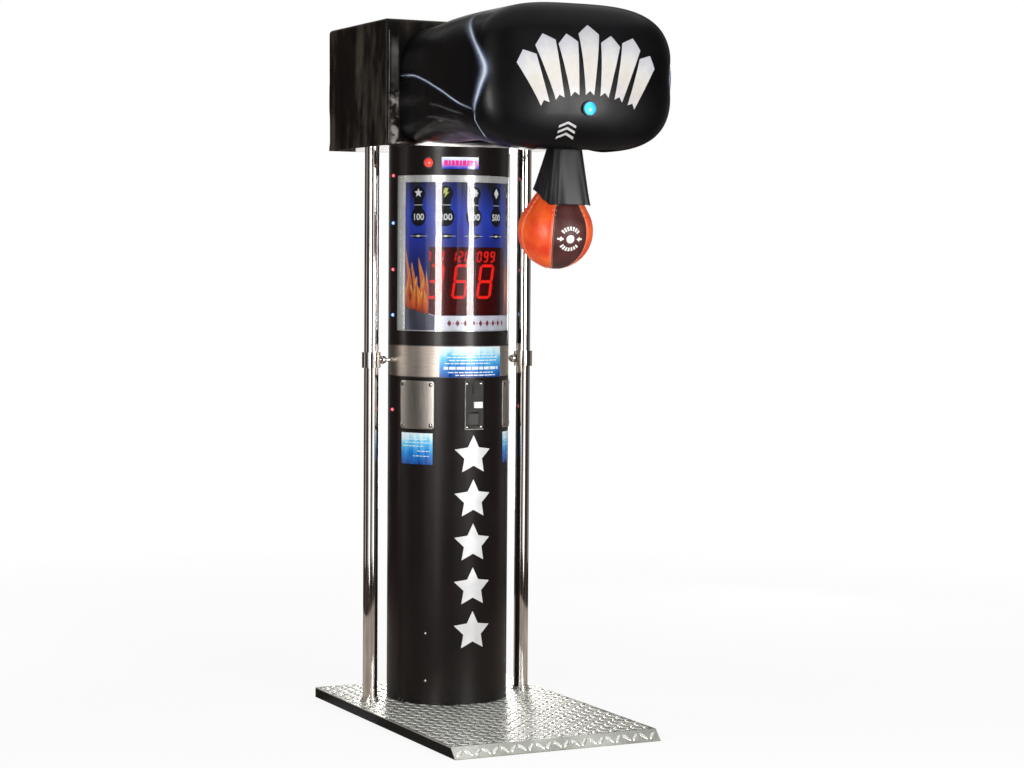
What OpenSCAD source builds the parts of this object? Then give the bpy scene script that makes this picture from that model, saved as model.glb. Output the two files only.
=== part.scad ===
// Punch-ball arcade machine in millimetres: a round column and two chrome posts stand on a
// tread plate base and carry a glove-shaped head, under which a leather ball hangs on an arm.
// +Z is up, the player stands on the -Y side, and the origin is on the floor under the
// column's axis. Angles round the column are counted from its front, positive towards +X.

/* [Base] */
// Width of the base, side to side
base_w = 702; // [690:2:900]
// Distance from the column's axis to the base's front edge
base_front = 831; // [600:1:1000]
// Distance from the column's axis to the base's rear edge
base_back = 301; // [260:1:400]
// Thickness of the wooden base board
board_t = 30; // [18:1:40]
// Thickness of the tread plate that covers the board
tread_t = 3; // [2:0.5:6]

/* [Column] */
// Outer diameter of the column
column_d = 400; // [360:2:430]
// Wall thickness of the column's tubes
column_wall = 4; // [2:0.5:8]
// Height of the column's top above the floor
column_top = 1850; // [1800:5:2100]
// Height of the lower edge of the bright band
band_low = 1104; // [1100:1:1150]
// Height of the bright band
band_h = 103; // [60:1:140]
// Height of the window's lower edge
window_low = 1254; // [1250:1:1300]
// Height of the window
window_h = 505; // [400:1:520]
// Half of the angle that the window spans
window_half = 84; // [70:1:86]
// Half of the angle that the printed sheet shows inside its frame
print_half = 72; // [60:1:74]

/* [Posts] */
// Outer diameter of the chrome posts
post_d = 48.3; // [40:0.1:60]
// Wall thickness of the posts
post_wall = 2.6; // [1.5:0.1:4]
// Distance from the column's axis to each post's axis
post_x = 277; // [255:1:300]
// Height of the clamps that tie the posts to the band
clamp_z = 1157; // [1130:1:1190]

/* [Head] */
// Width of the cuff
cuff_w = 608; // [560:2:680]
// Distance from the column's axis to the cuff's front wall
cuff_front = 164; // [120:1:200]
// Distance from the column's axis to the cuff's rear wall
cuff_back = 322; // [260:1:380]
// Height of the cuff above the column's top
cuff_h = 404; // [360:1:480]
// Width of the fist
fist_w = 658; // [600:2:760]
// Distance from the column's axis to the front of the fist
fist_front = 985; // [950:1:1100]
// Height of the fist's underside below the column's top
fist_drop = 42; // [20:1:60]
// Width of the glove where it enters the cuff
wrist_w = 504; // [440:2:560]
// Wall thickness of the moulded shells
shell_t = 4; // [3:0.5:8]
// Thickness of the steel plate on top of the column
head_plate_t = 10; // [6:1:16]
// Distance from the column's axis to the front edge of the steel plate
head_plate_front = 210; // [200:1:240]

/* [Ball] */
// Diameter of the ball
ball_d = 228; // [200:2:250]
// Distance from the axle to the ball's centre
arm_l = 391; // [360:1:420]
// Diameter of the arm's tube
arm_d = 32; // [20:1:40]
// Angle at which the arm rests, back from hanging straight down
arm_lean = 9; // [4:0.5:12]
// Angle that the arm swings up from its rest
swing = 82; // [60:1:84]
// Distance from the column's axis to the axle, towards the front
axle_y = 830; // [800:1:860]
// Height of the axle above the column's top
axle_h = 110; // [100:1:140]
// Diameter of the axle
axle_d = 25; // [16:1:30]
// Distance between the centres of the two rails that carry the axle
rail_gap = 330; // [300:2:400]

/* [Coin unit] */
// Width of the coin plate
coin_w = 66; // [56:1:90]
// Height of the coin plate
coin_h = 157; // [150:1:180]
// Height of the coin plate's lower edge
coin_low = 935; // [900:1:940]
// Width of the blanking plates beside it, along the column's surface
blank_w = 130; // [90:1:150]

/* [Controls] */
// Diameter of the start button
start_d = 38; // [28:1:50]
// Height of the start button above the column's top
start_h = 81; // [70:1:120]
// Diameter of the red button
red_d = 29; // [20:1:34]
// Travel of the push buttons
button_travel = 3.5; // [2:0.5:5]

/* [Service door] */
// Height of the door's lower edge
door_low = 285; // [270:5:400]
// Height of the door
door_h = 560; // [400:5:600]
// Half of the angle that the door spans
door_half = 33; // [24:1:40]

/* [Fits] */
// Running clearance of a shaft in its bore, on the radius
run_fit = 0.05; // [0.02:0.01:0.1]
// Gap between pieces that are seated on each other
seat_gap = 0.3; // [0.1:0.1:0.5]
// Gap round a moving panel or button
panel_gap = 1; // [0.6:0.1:2]

/* [Hidden] */
$fn = 96;
deck_z = board_t + tread_t;
column_r = column_d / 2;
bore_r = column_r - column_wall;
liner_r = bore_r - seat_gap;
band_high = band_low + band_h;
window_high = window_low + window_h;
collar_low = band_low - 64;
collar_high = band_high + 24;
collar_t = 5;
shelf_t = 3;
display_floor = collar_high + shelf_t;
foot_h = 92;
foot_t = 8;
foot_bolts = 6;
foot_bolt_r = liner_r - 38;
frame_t = 2.4;
frame_lap = 5;
frame_top_strip = 22;
frame_side = 8;
print_t = 1.2;
display_half = 44;
display_high = window_low + 273;
display_low = window_low + 51;
filter_t = 2;
digit_y = 92;
digit_pitch = 90;
digit_h = 122;
digit_w = 78;
digit_z = window_low + 161;
small_h = 40;
small_w = 23;
small_z = window_low + 243;
small_group = 92;
post_r = post_d / 2;
clamp_r = 31;
clamp_h = 51;
lamp_r = 5;
lamp_red_z = [window_high + 1, window_high - 306, band_low - 111];
lamp_blue_z = [window_high - 154, window_high - 455];
plate_top = column_top + head_plate_t;
head_plate_w = cuff_w - 2 * shell_t - 1;
head_plate_back = cuff_back - shell_t - 0.5;
tongue_half = wrist_w / 2 + 13;
cuff_top = column_top + cuff_h;
cuff_round = 28;
fist_low = column_top - fist_drop;
fist_top = cuff_top - 6;
wrist_low = plate_top + seat_gap;
wrist_lap = 14;
knuckle_depth = 112;
glove_split = column_top + 52;
glove_square = 3.2;
wrist_square = 8;
glove_sides = 40;
rail_x = rail_gap / 2;
rail_w = 20;
rail_h = 40;
rail_wall = 2.5;
rail_lift = 10;
rail_low = plate_top + rail_lift;
rail_top = rail_low + rail_h;
rail_back = cuff_back - 72;
axle_z = column_top + axle_h;
axle_l = 2 * rail_x + 50;
ball_r = ball_d / 2;
neck_r = 42;
neck_h = 150;
shoulder_h = 50;
hub_r = 28;
hub_l = 90;
boss_r = 20;
block_w = 26;
block_l = 130;
block_foot = 14;
stop_reach = 100;
buffer_r = 15;
stop_bar = 20;
bridge_w = 30;
bridge_z = axle_z + 100;
bridge_t = 25;
catch_x = 64;
catch_t = 8;
catch_r = 55;
catch_angle = -22;
latch_y = 90;
latch_z = 60;
latch_reach = 59.6;
latch_rest = 183;
latch_pin_r = 4;
latch_plate_x = catch_x + 16;
tail_l = 25;
plunger_r = 6;
plunger_tip_r = 3;
solenoid_w = 32;
solenoid_y = latch_y + 40;
disc_r = 50;
disc_t = 3;
disc_x = rail_x + 20;
recess_half = ball_r + 16;
sleeve_top = column_top - 22;
sleeve_low = column_top - 199;
sleeve_t = 3;
sleeve_front = axle_y + 30;
hem_front = axle_y + 46;
hem_back = axle_y - 136;
hem_half = 81;
cuff_half = 48;
recess_front = hem_front + 28;
recess_back = axle_y + 14 - sqrt(pow(arm_l + ball_r, 2) - pow(axle_z - fist_low, 2)) - 28;
coin_t = 4;
coin_body_w = coin_w - 12;
coin_high = coin_low + coin_h;
reject_w = 30;
reject_h = 20;
reject_x = 14;
reject_z = coin_low + 80;
flap_w = 34;
flap_h = 38;
flap_t = 2;
flap_top = coin_low + 52;
flap_pin_r = 1.5;
coin_front = -sqrt(pow(column_r, 2) - pow(coin_body_w / 2, 2)) + seat_gap;
cup_l = 44;
slot_w = 3.2;
slot_l = 34;
slot_x = -5;
slot_z = coin_low + 130;
blank_t = 3;
blank_mid = 56.3;
blank_half = blank_w / column_r * 90 / PI;
label_t = 0.4;
star_r = 66;
star_t = 1.2;
star_top = band_low - 254;
star_pitch = 144;
sign_w = 120;
sign_h = 38;
sign_mid = -14.5;
sign_z = column_top - 52;
red_angle = -44;
red_z = column_top - 51;
door_high = door_low + door_h;
hinge_r = 5;
hinge_angle = 180 + door_half + 3;
hinge_reach = column_r + 8;
pin_r = 2.5;
lock_r = 9;
lock_angle = 180 - door_half + 6;
lock_z = door_low + door_h / 2;
cash_floor = 262;
cash_w = 200;
cash_l = 150;
cash_h = 120;
cash_t = 2;
chute_w = 40;
chute_l = 30;
chute_t = 1.5;
inlet_z = 110;
speaker_z = 1560;
screw_r = 4;
bolt_r = 6;
bezel_rim = 4;
red_proud = 3;
start_proud = 7;
nut_rim = 9;

// Helpers

// A curved strip: a piece of a tube round the column's axis
module arc_band(r_in, r_out, mid, half, low, high) {
    translate([0, 0, low])
        rotate([0, 0, mid - half - 90])
            rotate_extrude(angle = 2 * half)
                translate([r_in, 0])
                    square([r_out - r_in, high - low]);
}

// A tube on the column's axis
module tube(r_out, r_in, low, high) {
    translate([0, 0, low])
        difference() {
            cylinder(r = r_out, h = high - low);
            translate([0, 0, -1])
                cylinder(r = r_in, h = high - low + 2);
        }
}

// Puts a piece on the column's surface: its x runs sideways, its y up and its z outwards
module on_column(angle, z, r = column_r) {
    rotate([0, 0, angle])
        translate([0, -r, z])
            rotate([90, 0, 0])
                children();
}

// Extrudes an outline of (y, z) points across the machine
module across(points, x_low, x_high) {
    translate([x_low, 0, 0])
        rotate([90, 0, 90])
            linear_extrude(x_high - x_low)
                polygon(points);
}

// A box between two corners
module block(low, high) {
    translate(low)
        cube(high - low);
}

// A round bar along X through (y, z)
module bar_x(x_low, x_high, y, z, r) {
    translate([x_low, y, z])
        rotate([0, 90, 0])
            cylinder(r = r, h = x_high - x_low);
}

// Puts a piece in the arm's own frame: the axle is its x axis and the ball hangs down its z axis
module on_arm() {
    translate([0, -axle_y, axle_z])
        rotate([arm_lean, 0, 0])
            children();
}

// Repeats a piece at each bolt of the column's two flanges
module at_flange_bolts() {
    for (i = [0 : foot_bolts - 1])
        rotate([0, 0, 360 * i / foot_bolts])
            translate([foot_bolt_r, 0, 0])
                children();
}

// The holes of those bolts between two heights
module flange_holes(low, high) {
    at_flange_bolts()
        translate([0, 0, low])
            cylinder(r = bolt_r + run_fit, h = high - low);
}

// A flat plate on the column's front, with its back curved to lie on the column
module saddle(half, low, high, proud) {
    difference() {
        block([-half, -column_r - proud, low], [half, -column_r + 8, high]);
        translate([0, 0, low - 1])
            cylinder(r = column_r, h = high - low + 2, $fn = 720);
    }
}

// A rectangular tube along Y
module rail(x, y_low, y_high) {
    difference() {
        block([x - rail_w / 2, y_low, rail_low], [x + rail_w / 2, y_high, rail_top]);
        block([x - rail_w / 2 + rail_wall, y_low - 1, rail_low + rail_wall],
            [x + rail_w / 2 - rail_wall, y_high + 1, rail_top - rail_wall]);
    }
}

// What a rail needs free of it, with a gap on each side and below
module rail_room(x) {
    block([x - rail_w / 2 - panel_gap, -axle_y - 71, rail_low - panel_gap],
        [x + rail_w / 2 + panel_gap, rail_back, rail_top]);
}

// Glove form: rings of a rounded square, from the wrist to the knuckles

function ease(t) = t * t * (3 - 2 * t);
function blend_to(a, b, t) = a + (b - a) * ease(min(1, max(0, t)));
function sign_power(v, p) = sign(v) * pow(abs(v), p);

// Distance in front of the column's axis, half width, underside, top and squareness of the
// underside of the ring at t, where t runs from 0 at the wrist to 1 where the knuckles start
function glove_ring(t) = let(start = cuff_front - wrist_lap, end = fist_front - knuckle_depth) [
    start + (end - start) * t,
    blend_to(wrist_w / 2, fist_w / 2, t * 1.25),
    blend_to(wrist_low, fist_low, t * 1.6 - 0.15),
    blend_to(cuff_top - 14, fist_top, t * 2),
    blend_to(wrist_square, glove_square, t * 1.3)
];

// A ring's points: a rounded square whose lower half has a squareness of its own
function ring_points(ring, inset, shrink, y) = [
    for (i = [0 : glove_sides - 1])
        let(a = 360 * i / glove_sides,
            mid = (ring[2] + ring[3]) / 2,
            tall = (ring[3] - ring[2]) / 2,
            power = 2 / (a > 0 && a < 180 ? ring[4] : glove_square))
            [
                (ring[1] - inset) * shrink * sign_power(cos(a), power),
                -y,
                mid - (tall - inset) * shrink * sign_power(sin(a), power)
            ]
];

body_rings = 8;
cap_rings = 6;
cap_least = 0.2;

// Depth of the knuckles' dome where it has shrunk to the given share of the fist
function dome_depth(shrink) = pow(1 - pow(shrink, 2.4), 1 / 2.2) / pow(1 - pow(cap_least, 2.4), 1 / 2.2);

function glove_points(inset, back) = concat(
    back > 0 ? ring_points(glove_ring(0), inset, 1, glove_ring(0)[0] - back) : [],
    [for (k = [0 : body_rings])
        let(ring = glove_ring(k / body_rings))
            each ring_points(ring, inset, 1, ring[0])],
    [for (k = [1 : cap_rings])
        let(shrink = 1 - (1 - cap_least) * pow(k / cap_rings, 1.9), ring = glove_ring(1))
            each ring_points(ring, inset, shrink,
                ring[0] + (knuckle_depth - inset) * dome_depth(shrink))]
);

// Distance of the dome's surface from the column's axis, at a height on the machine's middle
function front_at(z) =
    let(ring = glove_ring(1), share = abs(z - (ring[2] + ring[3]) / 2) / ((ring[3] - ring[2]) / 2))
    ring[0] + knuckle_depth * dome_depth(max(cap_least, share));

// A closed skin over rings that all have the same number of points
module loft(points, sides, rings) {
    walls = [
        for (k = [0 : rings - 2], i = [0 : sides - 1])
            let(j = (i + 1) % sides, a = k * sides, b = (k + 1) * sides)
                each [[a + i, a + j, b + j], [a + i, b + j, b + i]]
    ];
    first = [for (i = [1 : sides - 2]) [0, i + 1, i]];
    last = let(b = (rings - 1) * sides) [for (i = [1 : sides - 2]) [b, b + i, b + i + 1]];
    polyhedron(points = points, faces = concat(walls, first, last), convexity = 6);
}

module glove_form(inset = 0, back = 1) {
    loft(glove_points(inset, back), glove_sides, body_rings + cap_rings + (back > 0 ? 2 : 1));
}

// Base

module base_board() {
    lip = tread_t * sqrt(2);
    color([0.04, 0.04, 0.045])
        difference() {
            across([[-base_front + lip, 0], [-base_front + lip + board_t, board_t],
                [base_back, board_t], [base_back, 0]], -base_w / 2, base_w / 2);
            flange_holes(6, board_t + 1);
        }
}

module tread_plate() {
    lip = tread_t * sqrt(2);
    color([0.78, 0.79, 0.8])
        difference() {
            across([[-base_front, 0], [-base_front + lip, 0], [-base_front + lip + board_t, board_t],
                [base_back, board_t], [base_back, deck_z], [-base_front + deck_z, deck_z]],
                -base_w / 2, base_w / 2);
            flange_holes(board_t - 1, deck_z + 1);
        }
}

// The welded rings at the column's foot and top, with a skirt that the tube is screwed to
module column_flanges() {
    color([0.3, 0.3, 0.32])
        difference() {
            union() {
                tube(liner_r, liner_r - 6, deck_z, deck_z + foot_h);
                tube(liner_r - 3, foot_bolt_r - 35, deck_z, deck_z + foot_t);
                tube(liner_r, liner_r - 5, column_top - 24, column_top);
                tube(liner_r - 3, foot_bolt_r - 30, column_top - foot_t, column_top);
            }
            flange_holes(deck_z - 1, deck_z + foot_t + 1);
            flange_holes(column_top - foot_t - 1, column_top + 1);
            block([-32, bore_r - 40, inlet_z - 26], [32, column_r, inlet_z + 26]);
        }
}

module flange_bolts() {
    head = 8;
    color([0.6, 0.6, 0.62])
        at_flange_bolts() {
            translate([0, 0, 6])
                cylinder(r = bolt_r, h = deck_z + foot_t - 6);
            translate([0, 0, deck_z + foot_t])
                cylinder(r = 2 * bolt_r * 0.95, h = head, $fn = 6);
            translate([0, 0, column_top - foot_t - head])
                cylinder(r = bolt_r, h = head_plate_t + foot_t + head);
            translate([0, 0, plate_top])
                cylinder(r = 2 * bolt_r * 0.95, h = head, $fn = 6);
            translate([0, 0, column_top - foot_t - head])
                cylinder(r = 2 * bolt_r * 0.95, h = head - seat_gap, $fn = 6);
        }
}

// Column

module lower_column() {
    color([0.03, 0.03, 0.035])
        difference() {
            tube(column_r, bore_r, deck_z, band_low - 0.5);
            block([-coin_body_w / 2 - 3, -column_r - 5, coin_low + 5],
                [coin_body_w / 2 + 3, -bore_r + 20, coin_high - 5]);
            arc_band(bore_r - 4, column_r + 4, 180, door_half, door_low, door_high);
            block([-22, bore_r - 20, inlet_z - 13], [22, column_r + 10, inlet_z + 13]);
            for (side = [-1, 1])
                lamp_hole(side, lamp_red_z[2]);
        }
}

module lamp_hole(side, z) {
    on_column(90 * side, z, bore_r - 5)
        cylinder(r = lamp_r - 1 + run_fit, h = column_wall + 10);
}

module column_band() {
    color([0.62, 0.61, 0.6])
        difference() {
            tube(column_r, bore_r, band_low, band_high);
            for (side = [-1, 1])
                on_column(90 * side, clamp_z, bore_r - 5)
                    cylinder(r = bolt_r + run_fit, h = column_wall + 10);
        }
}

module joint_collar() {
    color([0.35, 0.35, 0.37])
        difference() {
            tube(liner_r, liner_r - collar_t, collar_low, collar_high);
            block([-coin_body_w / 2 - 6, -column_r, collar_low - 1],
                [coin_body_w / 2 + 6, -bore_r + 60, coin_high + 3]);
            for (side = [-1, 1])
                on_column(90 * side, clamp_z, liner_r - collar_t - 5)
                    cylinder(r = bolt_r + run_fit, h = collar_t + 10);
        }
}

module upper_column() {
    color([0.03, 0.03, 0.035])
        difference() {
            tube(column_r, bore_r, band_high + 0.5, column_top);
            arc_band(bore_r - 4, column_r + 4, 0, window_half, window_low, window_high);
            on_column(red_angle, red_z, bore_r - 5)
                cylinder(r = red_d / 2 + bezel_rim + seat_gap, h = column_wall + 10);
            on_column(sign_mid, sign_z, bore_r - 5)
                cylinder(r = 8 + seat_gap, h = column_wall + 10);
            for (side = [-1, 1], z = concat([lamp_red_z[0], lamp_red_z[1]], lamp_blue_z))
                lamp_hole(side, z);
            for (k = [-2 : 2])
                block([-35, bore_r - 15, speaker_z + 14 * k - 2.5],
                    [35, column_r + 10, speaker_z + 14 * k + 2.5]);
        }
}

module clear_cover() {
    color([0.75, 0.85, 0.9, 0.3])
        arc_band(bore_r, column_r, 0, window_half - 0.1, window_low + seat_gap, window_high - seat_gap);
}

module window_frame() {
    r_out = liner_r;
    color([0.75, 0.75, 0.76])
        difference() {
            arc_band(r_out - frame_t, r_out, 0, window_half - 0.5 + frame_lap, window_low - frame_side,
                window_high + frame_side + 4);
            arc_band(r_out - frame_t - 2, r_out + 2, 0, print_half, window_low + 2,
                window_high - frame_top_strip);
            for (side = [-1, 1], z = concat([lamp_red_z[0], lamp_red_z[1]], lamp_blue_z))
                on_column(90 * side, z, r_out - 10)
                    cylinder(r = lamp_r + 3, h = 20);
        }
}

module print_sheet() {
    r_out = liner_r - frame_t - seat_gap;
    color([0.05, 0.15, 0.6])
        difference() {
            arc_band(r_out - print_t, r_out, 0, print_half + 8, window_low - frame_side, window_high + 2);
            arc_band(r_out - print_t - 2, r_out + 2, 0, display_half, display_low, display_high);
        }
}

module display_filter() {
    r_out = liner_r - frame_t - 2 * seat_gap - print_t;
    color([0.3, 0.0, 0.02, 0.7])
        arc_band(r_out - filter_t, r_out, 0, display_half + 3, display_low - 8, display_high + 8);
}

// The round shelf on the joint collar, with the upright plate that carries the display
module display_shelf() {
    back = -digit_y + 16;
    color([0.4, 0.4, 0.42]) {
        translate([0, 0, collar_high])
            difference() {
                cylinder(r = liner_r, h = shelf_t);
                translate([0, 0, -1])
                    cylinder(r = 25, h = shelf_t + 2);
            }
        block([-138, back, display_floor - 1], [138, back + 2, display_high + 10]);
    }
}

module display_digits() {
    color([0.25, 0.02, 0.02]) {
        block([-136, -digit_y + 12, display_low - 5], [136, -digit_y + 16, display_high + 8]);
        for (k = [-1 : 1]) {
            block([k * digit_pitch - digit_w / 2, -digit_y, digit_z - digit_h / 2],
                [k * digit_pitch + digit_w / 2, -digit_y + 12, digit_z + digit_h / 2]);
            for (j = [-1 : 1])
                block([k * small_group + j * (small_w + 1) - small_w / 2, -digit_y, small_z - small_h / 2],
                    [k * small_group + j * (small_w + 1) + small_w / 2, -digit_y + 12,
                        small_z + small_h / 2]);
        }
    }
}

module main_board() {
    front = -digit_y + 18;
    color([0.05, 0.3, 0.12]) {
        block([-100, front + 10, display_floor + 40], [100, front + 11.6, display_floor + 190]);
        for (x = [-90, 90], z = [50, 180])
            translate([x, front, display_floor + z])
                rotate([-90, 0, 0])
                    cylinder(r = 3, h = 10);
        for (k = [-2 : 2])
            block([k * 36 - 12, front + 11.6, display_floor + 90], [k * 36 + 12, front + 16,
                display_floor + 114]);
        block([-80, front + 11.6, display_floor + 150], [80, front + 22, display_floor + 160]);
    }
}

module power_supply() {
    color([0.65, 0.66, 0.67])
        difference() {
            block([-80, 30, display_floor], [80, 130, display_floor + 42]);
            for (k = [-4 : 4])
                block([k * 15 - 3, 40, display_floor + 38], [k * 15 + 3, 120, display_floor + 43]);
        }
}

module speaker() {
    color([0.1, 0.1, 0.1])
        intersection() {
            translate([0, bore_r, speaker_z])
                rotate([90, 0, 0])
                    union() {
                        cylinder(r = 58, h = 14);
                        translate([0, 0, 14])
                            cylinder(r1 = 50, r2 = 26, h = 26);
                        translate([0, 0, 40])
                            cylinder(r = 30, h = 16);
                    }
            cylinder(r = liner_r, h = column_top);
        }
}

module power_inlet() {
    color([0.08, 0.08, 0.08])
        difference() {
            union() {
                block([-21, bore_r - 18, inlet_z - 12], [21, column_r + 2, inlet_z + 12]);
                rotate([0, 0, 180])
                    saddle(30, inlet_z - 16, inlet_z + 16, 4);
            }
            block([-13, column_r - 16, inlet_z - 9], [13, column_r + 5, inlet_z + 9]);
        }
}

// Lamps, sign and buttons

module lamp(side, z) {
    on_column(90 * side, z, column_r - column_wall) {
        cylinder(r = lamp_r - 1, h = column_wall + 1);
        translate([0, 0, column_wall + 0.2])
            cylinder(r = lamp_r + 1, h = 1.8);
        translate([0, 0, column_wall + 2])
            intersection() {
                sphere(r = lamp_r);
                cylinder(r = lamp_r, h = lamp_r);
            }
    }
}

module red_lamps() {
    color([0.9, 0.1, 0.15])
        for (side = [-1, 1], z = lamp_red_z)
            lamp(side, z);
}

module blue_lamps() {
    color([0.2, 0.4, 0.95])
        for (side = [-1, 1], z = lamp_blue_z)
            lamp(side, z);
}

module lit_sign() {
    half = sign_w / column_r * 90 / PI;
    color([0.35, 0.1, 0.4]) {
        arc_band(column_r, column_r + 5, sign_mid, half, sign_z - sign_h / 2, sign_z + sign_h / 2);
        on_column(sign_mid, sign_z, bore_r - 2)
            cylinder(r = 8, h = column_wall + 4);
    }
}

// The bezel, barrel and nut of a push button: it passes through the wall, whose outer face
// is at z = 0, and its bezel stands proud of it
module button_housing(d, wall, proud) {
    difference() {
        union() {
            translate([0, 0, -wall - 15])
                cylinder(r = d / 2 + bezel_rim, h = wall + 15 + proud);
            translate([0, 0, -wall - 34])
                cylinder(r = d / 2 - 2, h = 30);
            translate([0, 0, -wall - 15])
                cylinder(r = d / 2 + nut_rim, h = 4);
        }
        translate([0, 0, proud - button_travel - 2])
            cylinder(r = d / 2 + run_fit, h = button_travel + 10);
        translate([0, 0, -wall - 30])
            cylinder(r = d / 2 - 5 + run_fit, h = wall + 60);
    }
}

// The moving cap of a push button: a low dome on a stem
module button_cap(d, wall, proud) {
    rise = 5.5;
    dome = (pow(d / 2, 2) + pow(rise, 2)) / (2 * rise);
    translate([0, 0, proud - 1.5])
        intersection() {
            cylinder(r = d / 2, h = rise + 3);
            translate([0, 0, 3 + rise - dome])
                sphere(r = dome);
        }
    translate([0, 0, -wall - 30 + button_travel + seat_gap])
        cylinder(r = d / 2 - 5, h = wall + 30 + proud - button_travel);
}

// Puts a piece on the front of the fist, where the start button is
module on_fist() {
    translate([0, -front_at(column_top + start_h), column_top + start_h])
        rotate([90, 0, 0])
            children();
}

module button_housings() {
    color([0.08, 0.08, 0.08]) {
        on_column(red_angle, red_z)
            button_housing(red_d, column_wall, red_proud);
        on_fist()
            button_housing(start_d, shell_t, start_proud);
    }
}

module red_button() {
    color([0.85, 0.03, 0.04])
        on_column(red_angle, red_z)
            button_cap(red_d, column_wall, red_proud);
}

module start_button() {
    color([0.1, 0.6, 0.8])
        on_fist()
            button_cap(start_d, shell_t, start_proud);
}

// Posts

module post(side) {
    color([0.82, 0.83, 0.85])
        translate([side * post_x, 0, 0])
            tube(post_r, post_r - post_wall, deck_z, column_top);
}

module left_post() {
    post(-1);
}

module right_post() {
    post(1);
}

module post_collars() {
    color([0.75, 0.76, 0.78])
        for (side = [-1, 1])
            translate([side * post_x, 0, 0]) {
                tube(post_r + 9, post_r + seat_gap / 2, deck_z, deck_z + 5);
                tube(post_r + 4, post_r + seat_gap / 2, deck_z + 4, deck_z + 14);
            }
}

module clamp_rings() {
    color([0.72, 0.73, 0.75])
        for (side = [-1, 1])
            translate([side * post_x, 0, 0])
                difference() {
                    tube(clamp_r, post_r + seat_gap / 2, clamp_z - clamp_h / 2, clamp_z + clamp_h / 2);
                    translate([-side * post_r, 0, clamp_z])
                        rotate([0, -90 * side, 0])
                            cylinder(r = bolt_r + run_fit, h = 20);
                }
}

module clamp_bolts() {
    color([0.8, 0.81, 0.83])
        for (turn = [0, 180])
            rotate([0, 0, turn]) {
                bar_x(liner_r - collar_t - 8, post_x - post_r - seat_gap, 0, clamp_z, bolt_r);
                bar_x(liner_r - collar_t - 10, liner_r - collar_t - 0.5, 0, clamp_z, 2 * bolt_r);
                bar_x(column_r + seat_gap, column_r + 8, 0, clamp_z, 9);
                translate([post_x - clamp_r - 8, 0, clamp_z])
                    intersection() {
                        sphere(r = 14);
                        block([-20, -20, -20], [7, 20, 20]);
                    }
            }
}

// Trim on the column

module blanking_plates() {
    color([0.6, 0.59, 0.57])
        for (side = [-1, 1])
            arc_band(column_r, column_r + blank_t, side * blank_mid, blank_half, coin_low, coin_high);
}

module blue_labels() {
    color([0.15, 0.5, 0.85]) {
        arc_band(column_r, column_r + label_t, 0, 33, band_low + 1, band_high - 3);
        for (side = [-1, 1])
            arc_band(column_r, column_r + label_t, side * blank_mid, blank_half - 1.3,
                coin_low - 115, coin_low - 13);
    }
}

module star_outline(r) {
    polygon([for (i = [0 : 9]) let(q = i % 2 == 0 ? r : r * 0.5) [q * sin(36 * i), q * cos(36 * i)]]);
}

module star_badges() {
    color([0.85, 0.85, 0.86])
        for (k = [0 : 4])
            intersection() {
                tube(column_r + star_t, column_r, star_top - k * star_pitch - star_r,
                    star_top - k * star_pitch + star_r);
                on_column(0, star_top - k * star_pitch, 0)
                    linear_extrude(column_r + 10)
                        star_outline(star_r);
            }
}

// Coin unit

// The opening that the reject button slides in
module reject_opening(y_low, y_high) {
    gap = panel_gap / 2;
    block([reject_x - reject_w / 2 - gap, y_low, reject_z - reject_h / 2 - gap],
        [reject_x + reject_w / 2 + gap, y_high, reject_z + reject_h / 2 + gap]);
}

module coin_plate() {
    color([0.07, 0.07, 0.075])
        difference() {
            saddle(coin_w / 2, coin_low, coin_high, coin_t);
            block([slot_x - slot_w / 2, -column_r - 10, slot_z - slot_l / 2],
                [slot_x + slot_w / 2, -bore_r, slot_z + slot_l / 2]);
            reject_opening(-column_r - 10, -bore_r);
            block([-flap_w / 2 - panel_gap, -column_r - 10, flap_top - flap_h - 2 * panel_gap],
                [flap_w / 2 + panel_gap, -bore_r, flap_top + 4]);
        }
}

module coin_validator() {
    color([0.15, 0.15, 0.17])
        difference() {
            block([-coin_body_w / 2, coin_front, flap_top + 8],
                [coin_body_w / 2, coin_front + 70, coin_high - 6]);
            block([slot_x - slot_w / 2, coin_front - 1, coin_low + 4],
                [slot_x + slot_w / 2, coin_front + 60, slot_z + slot_l / 2]);
            reject_opening(coin_front - 1, coin_front + 18);
        }
}

module coin_cup() {
    color([0.12, 0.12, 0.13])
        difference() {
            block([-coin_body_w / 2, coin_front, coin_low + 6],
                [coin_body_w / 2, coin_front + cup_l, flap_top + 8]);
            block([-flap_w / 2 - panel_gap, coin_front - 1, flap_top - flap_h - 2 * panel_gap],
                [flap_w / 2 + panel_gap, coin_front + cup_l - 3, flap_top + 5]);
        }
}

module coin_chute() {
    back = coin_front + cup_l + seat_gap;
    top = flap_top + 8 - seat_gap;
    low = cash_floor + cash_h + 22;
    color([0.6, 0.6, 0.62])
        difference() {
            block([-chute_w / 2, back, low], [chute_w / 2, back + chute_l, top]);
            block([-chute_w / 2 + chute_t, back + chute_t, low - 1],
                [chute_w / 2 - chute_t, back + chute_l - chute_t, top + 1]);
        }
}

module reject_button() {
    color([0.92, 0.92, 0.9]) {
        block([reject_x - reject_w / 2, -column_r - coin_t - 3, reject_z - reject_h / 2],
            [reject_x + reject_w / 2, -column_r + 6, reject_z + reject_h / 2]);
        translate([reject_x, -column_r + 5, reject_z])
            rotate([-90, 0, 0])
                cylinder(r = 4, h = 8);
    }
}

module return_flap() {
    y = -column_r - 1;
    color([0.1, 0.1, 0.1]) {
        block([-flap_w / 2, y - flap_t / 2, flap_top - flap_h], [flap_w / 2, y + flap_t / 2, flap_top]);
        bar_x(-flap_w / 2 - panel_gap + 0.2, flap_w / 2 + panel_gap - 0.2, y, flap_top, flap_pin_r);
    }
}

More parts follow.
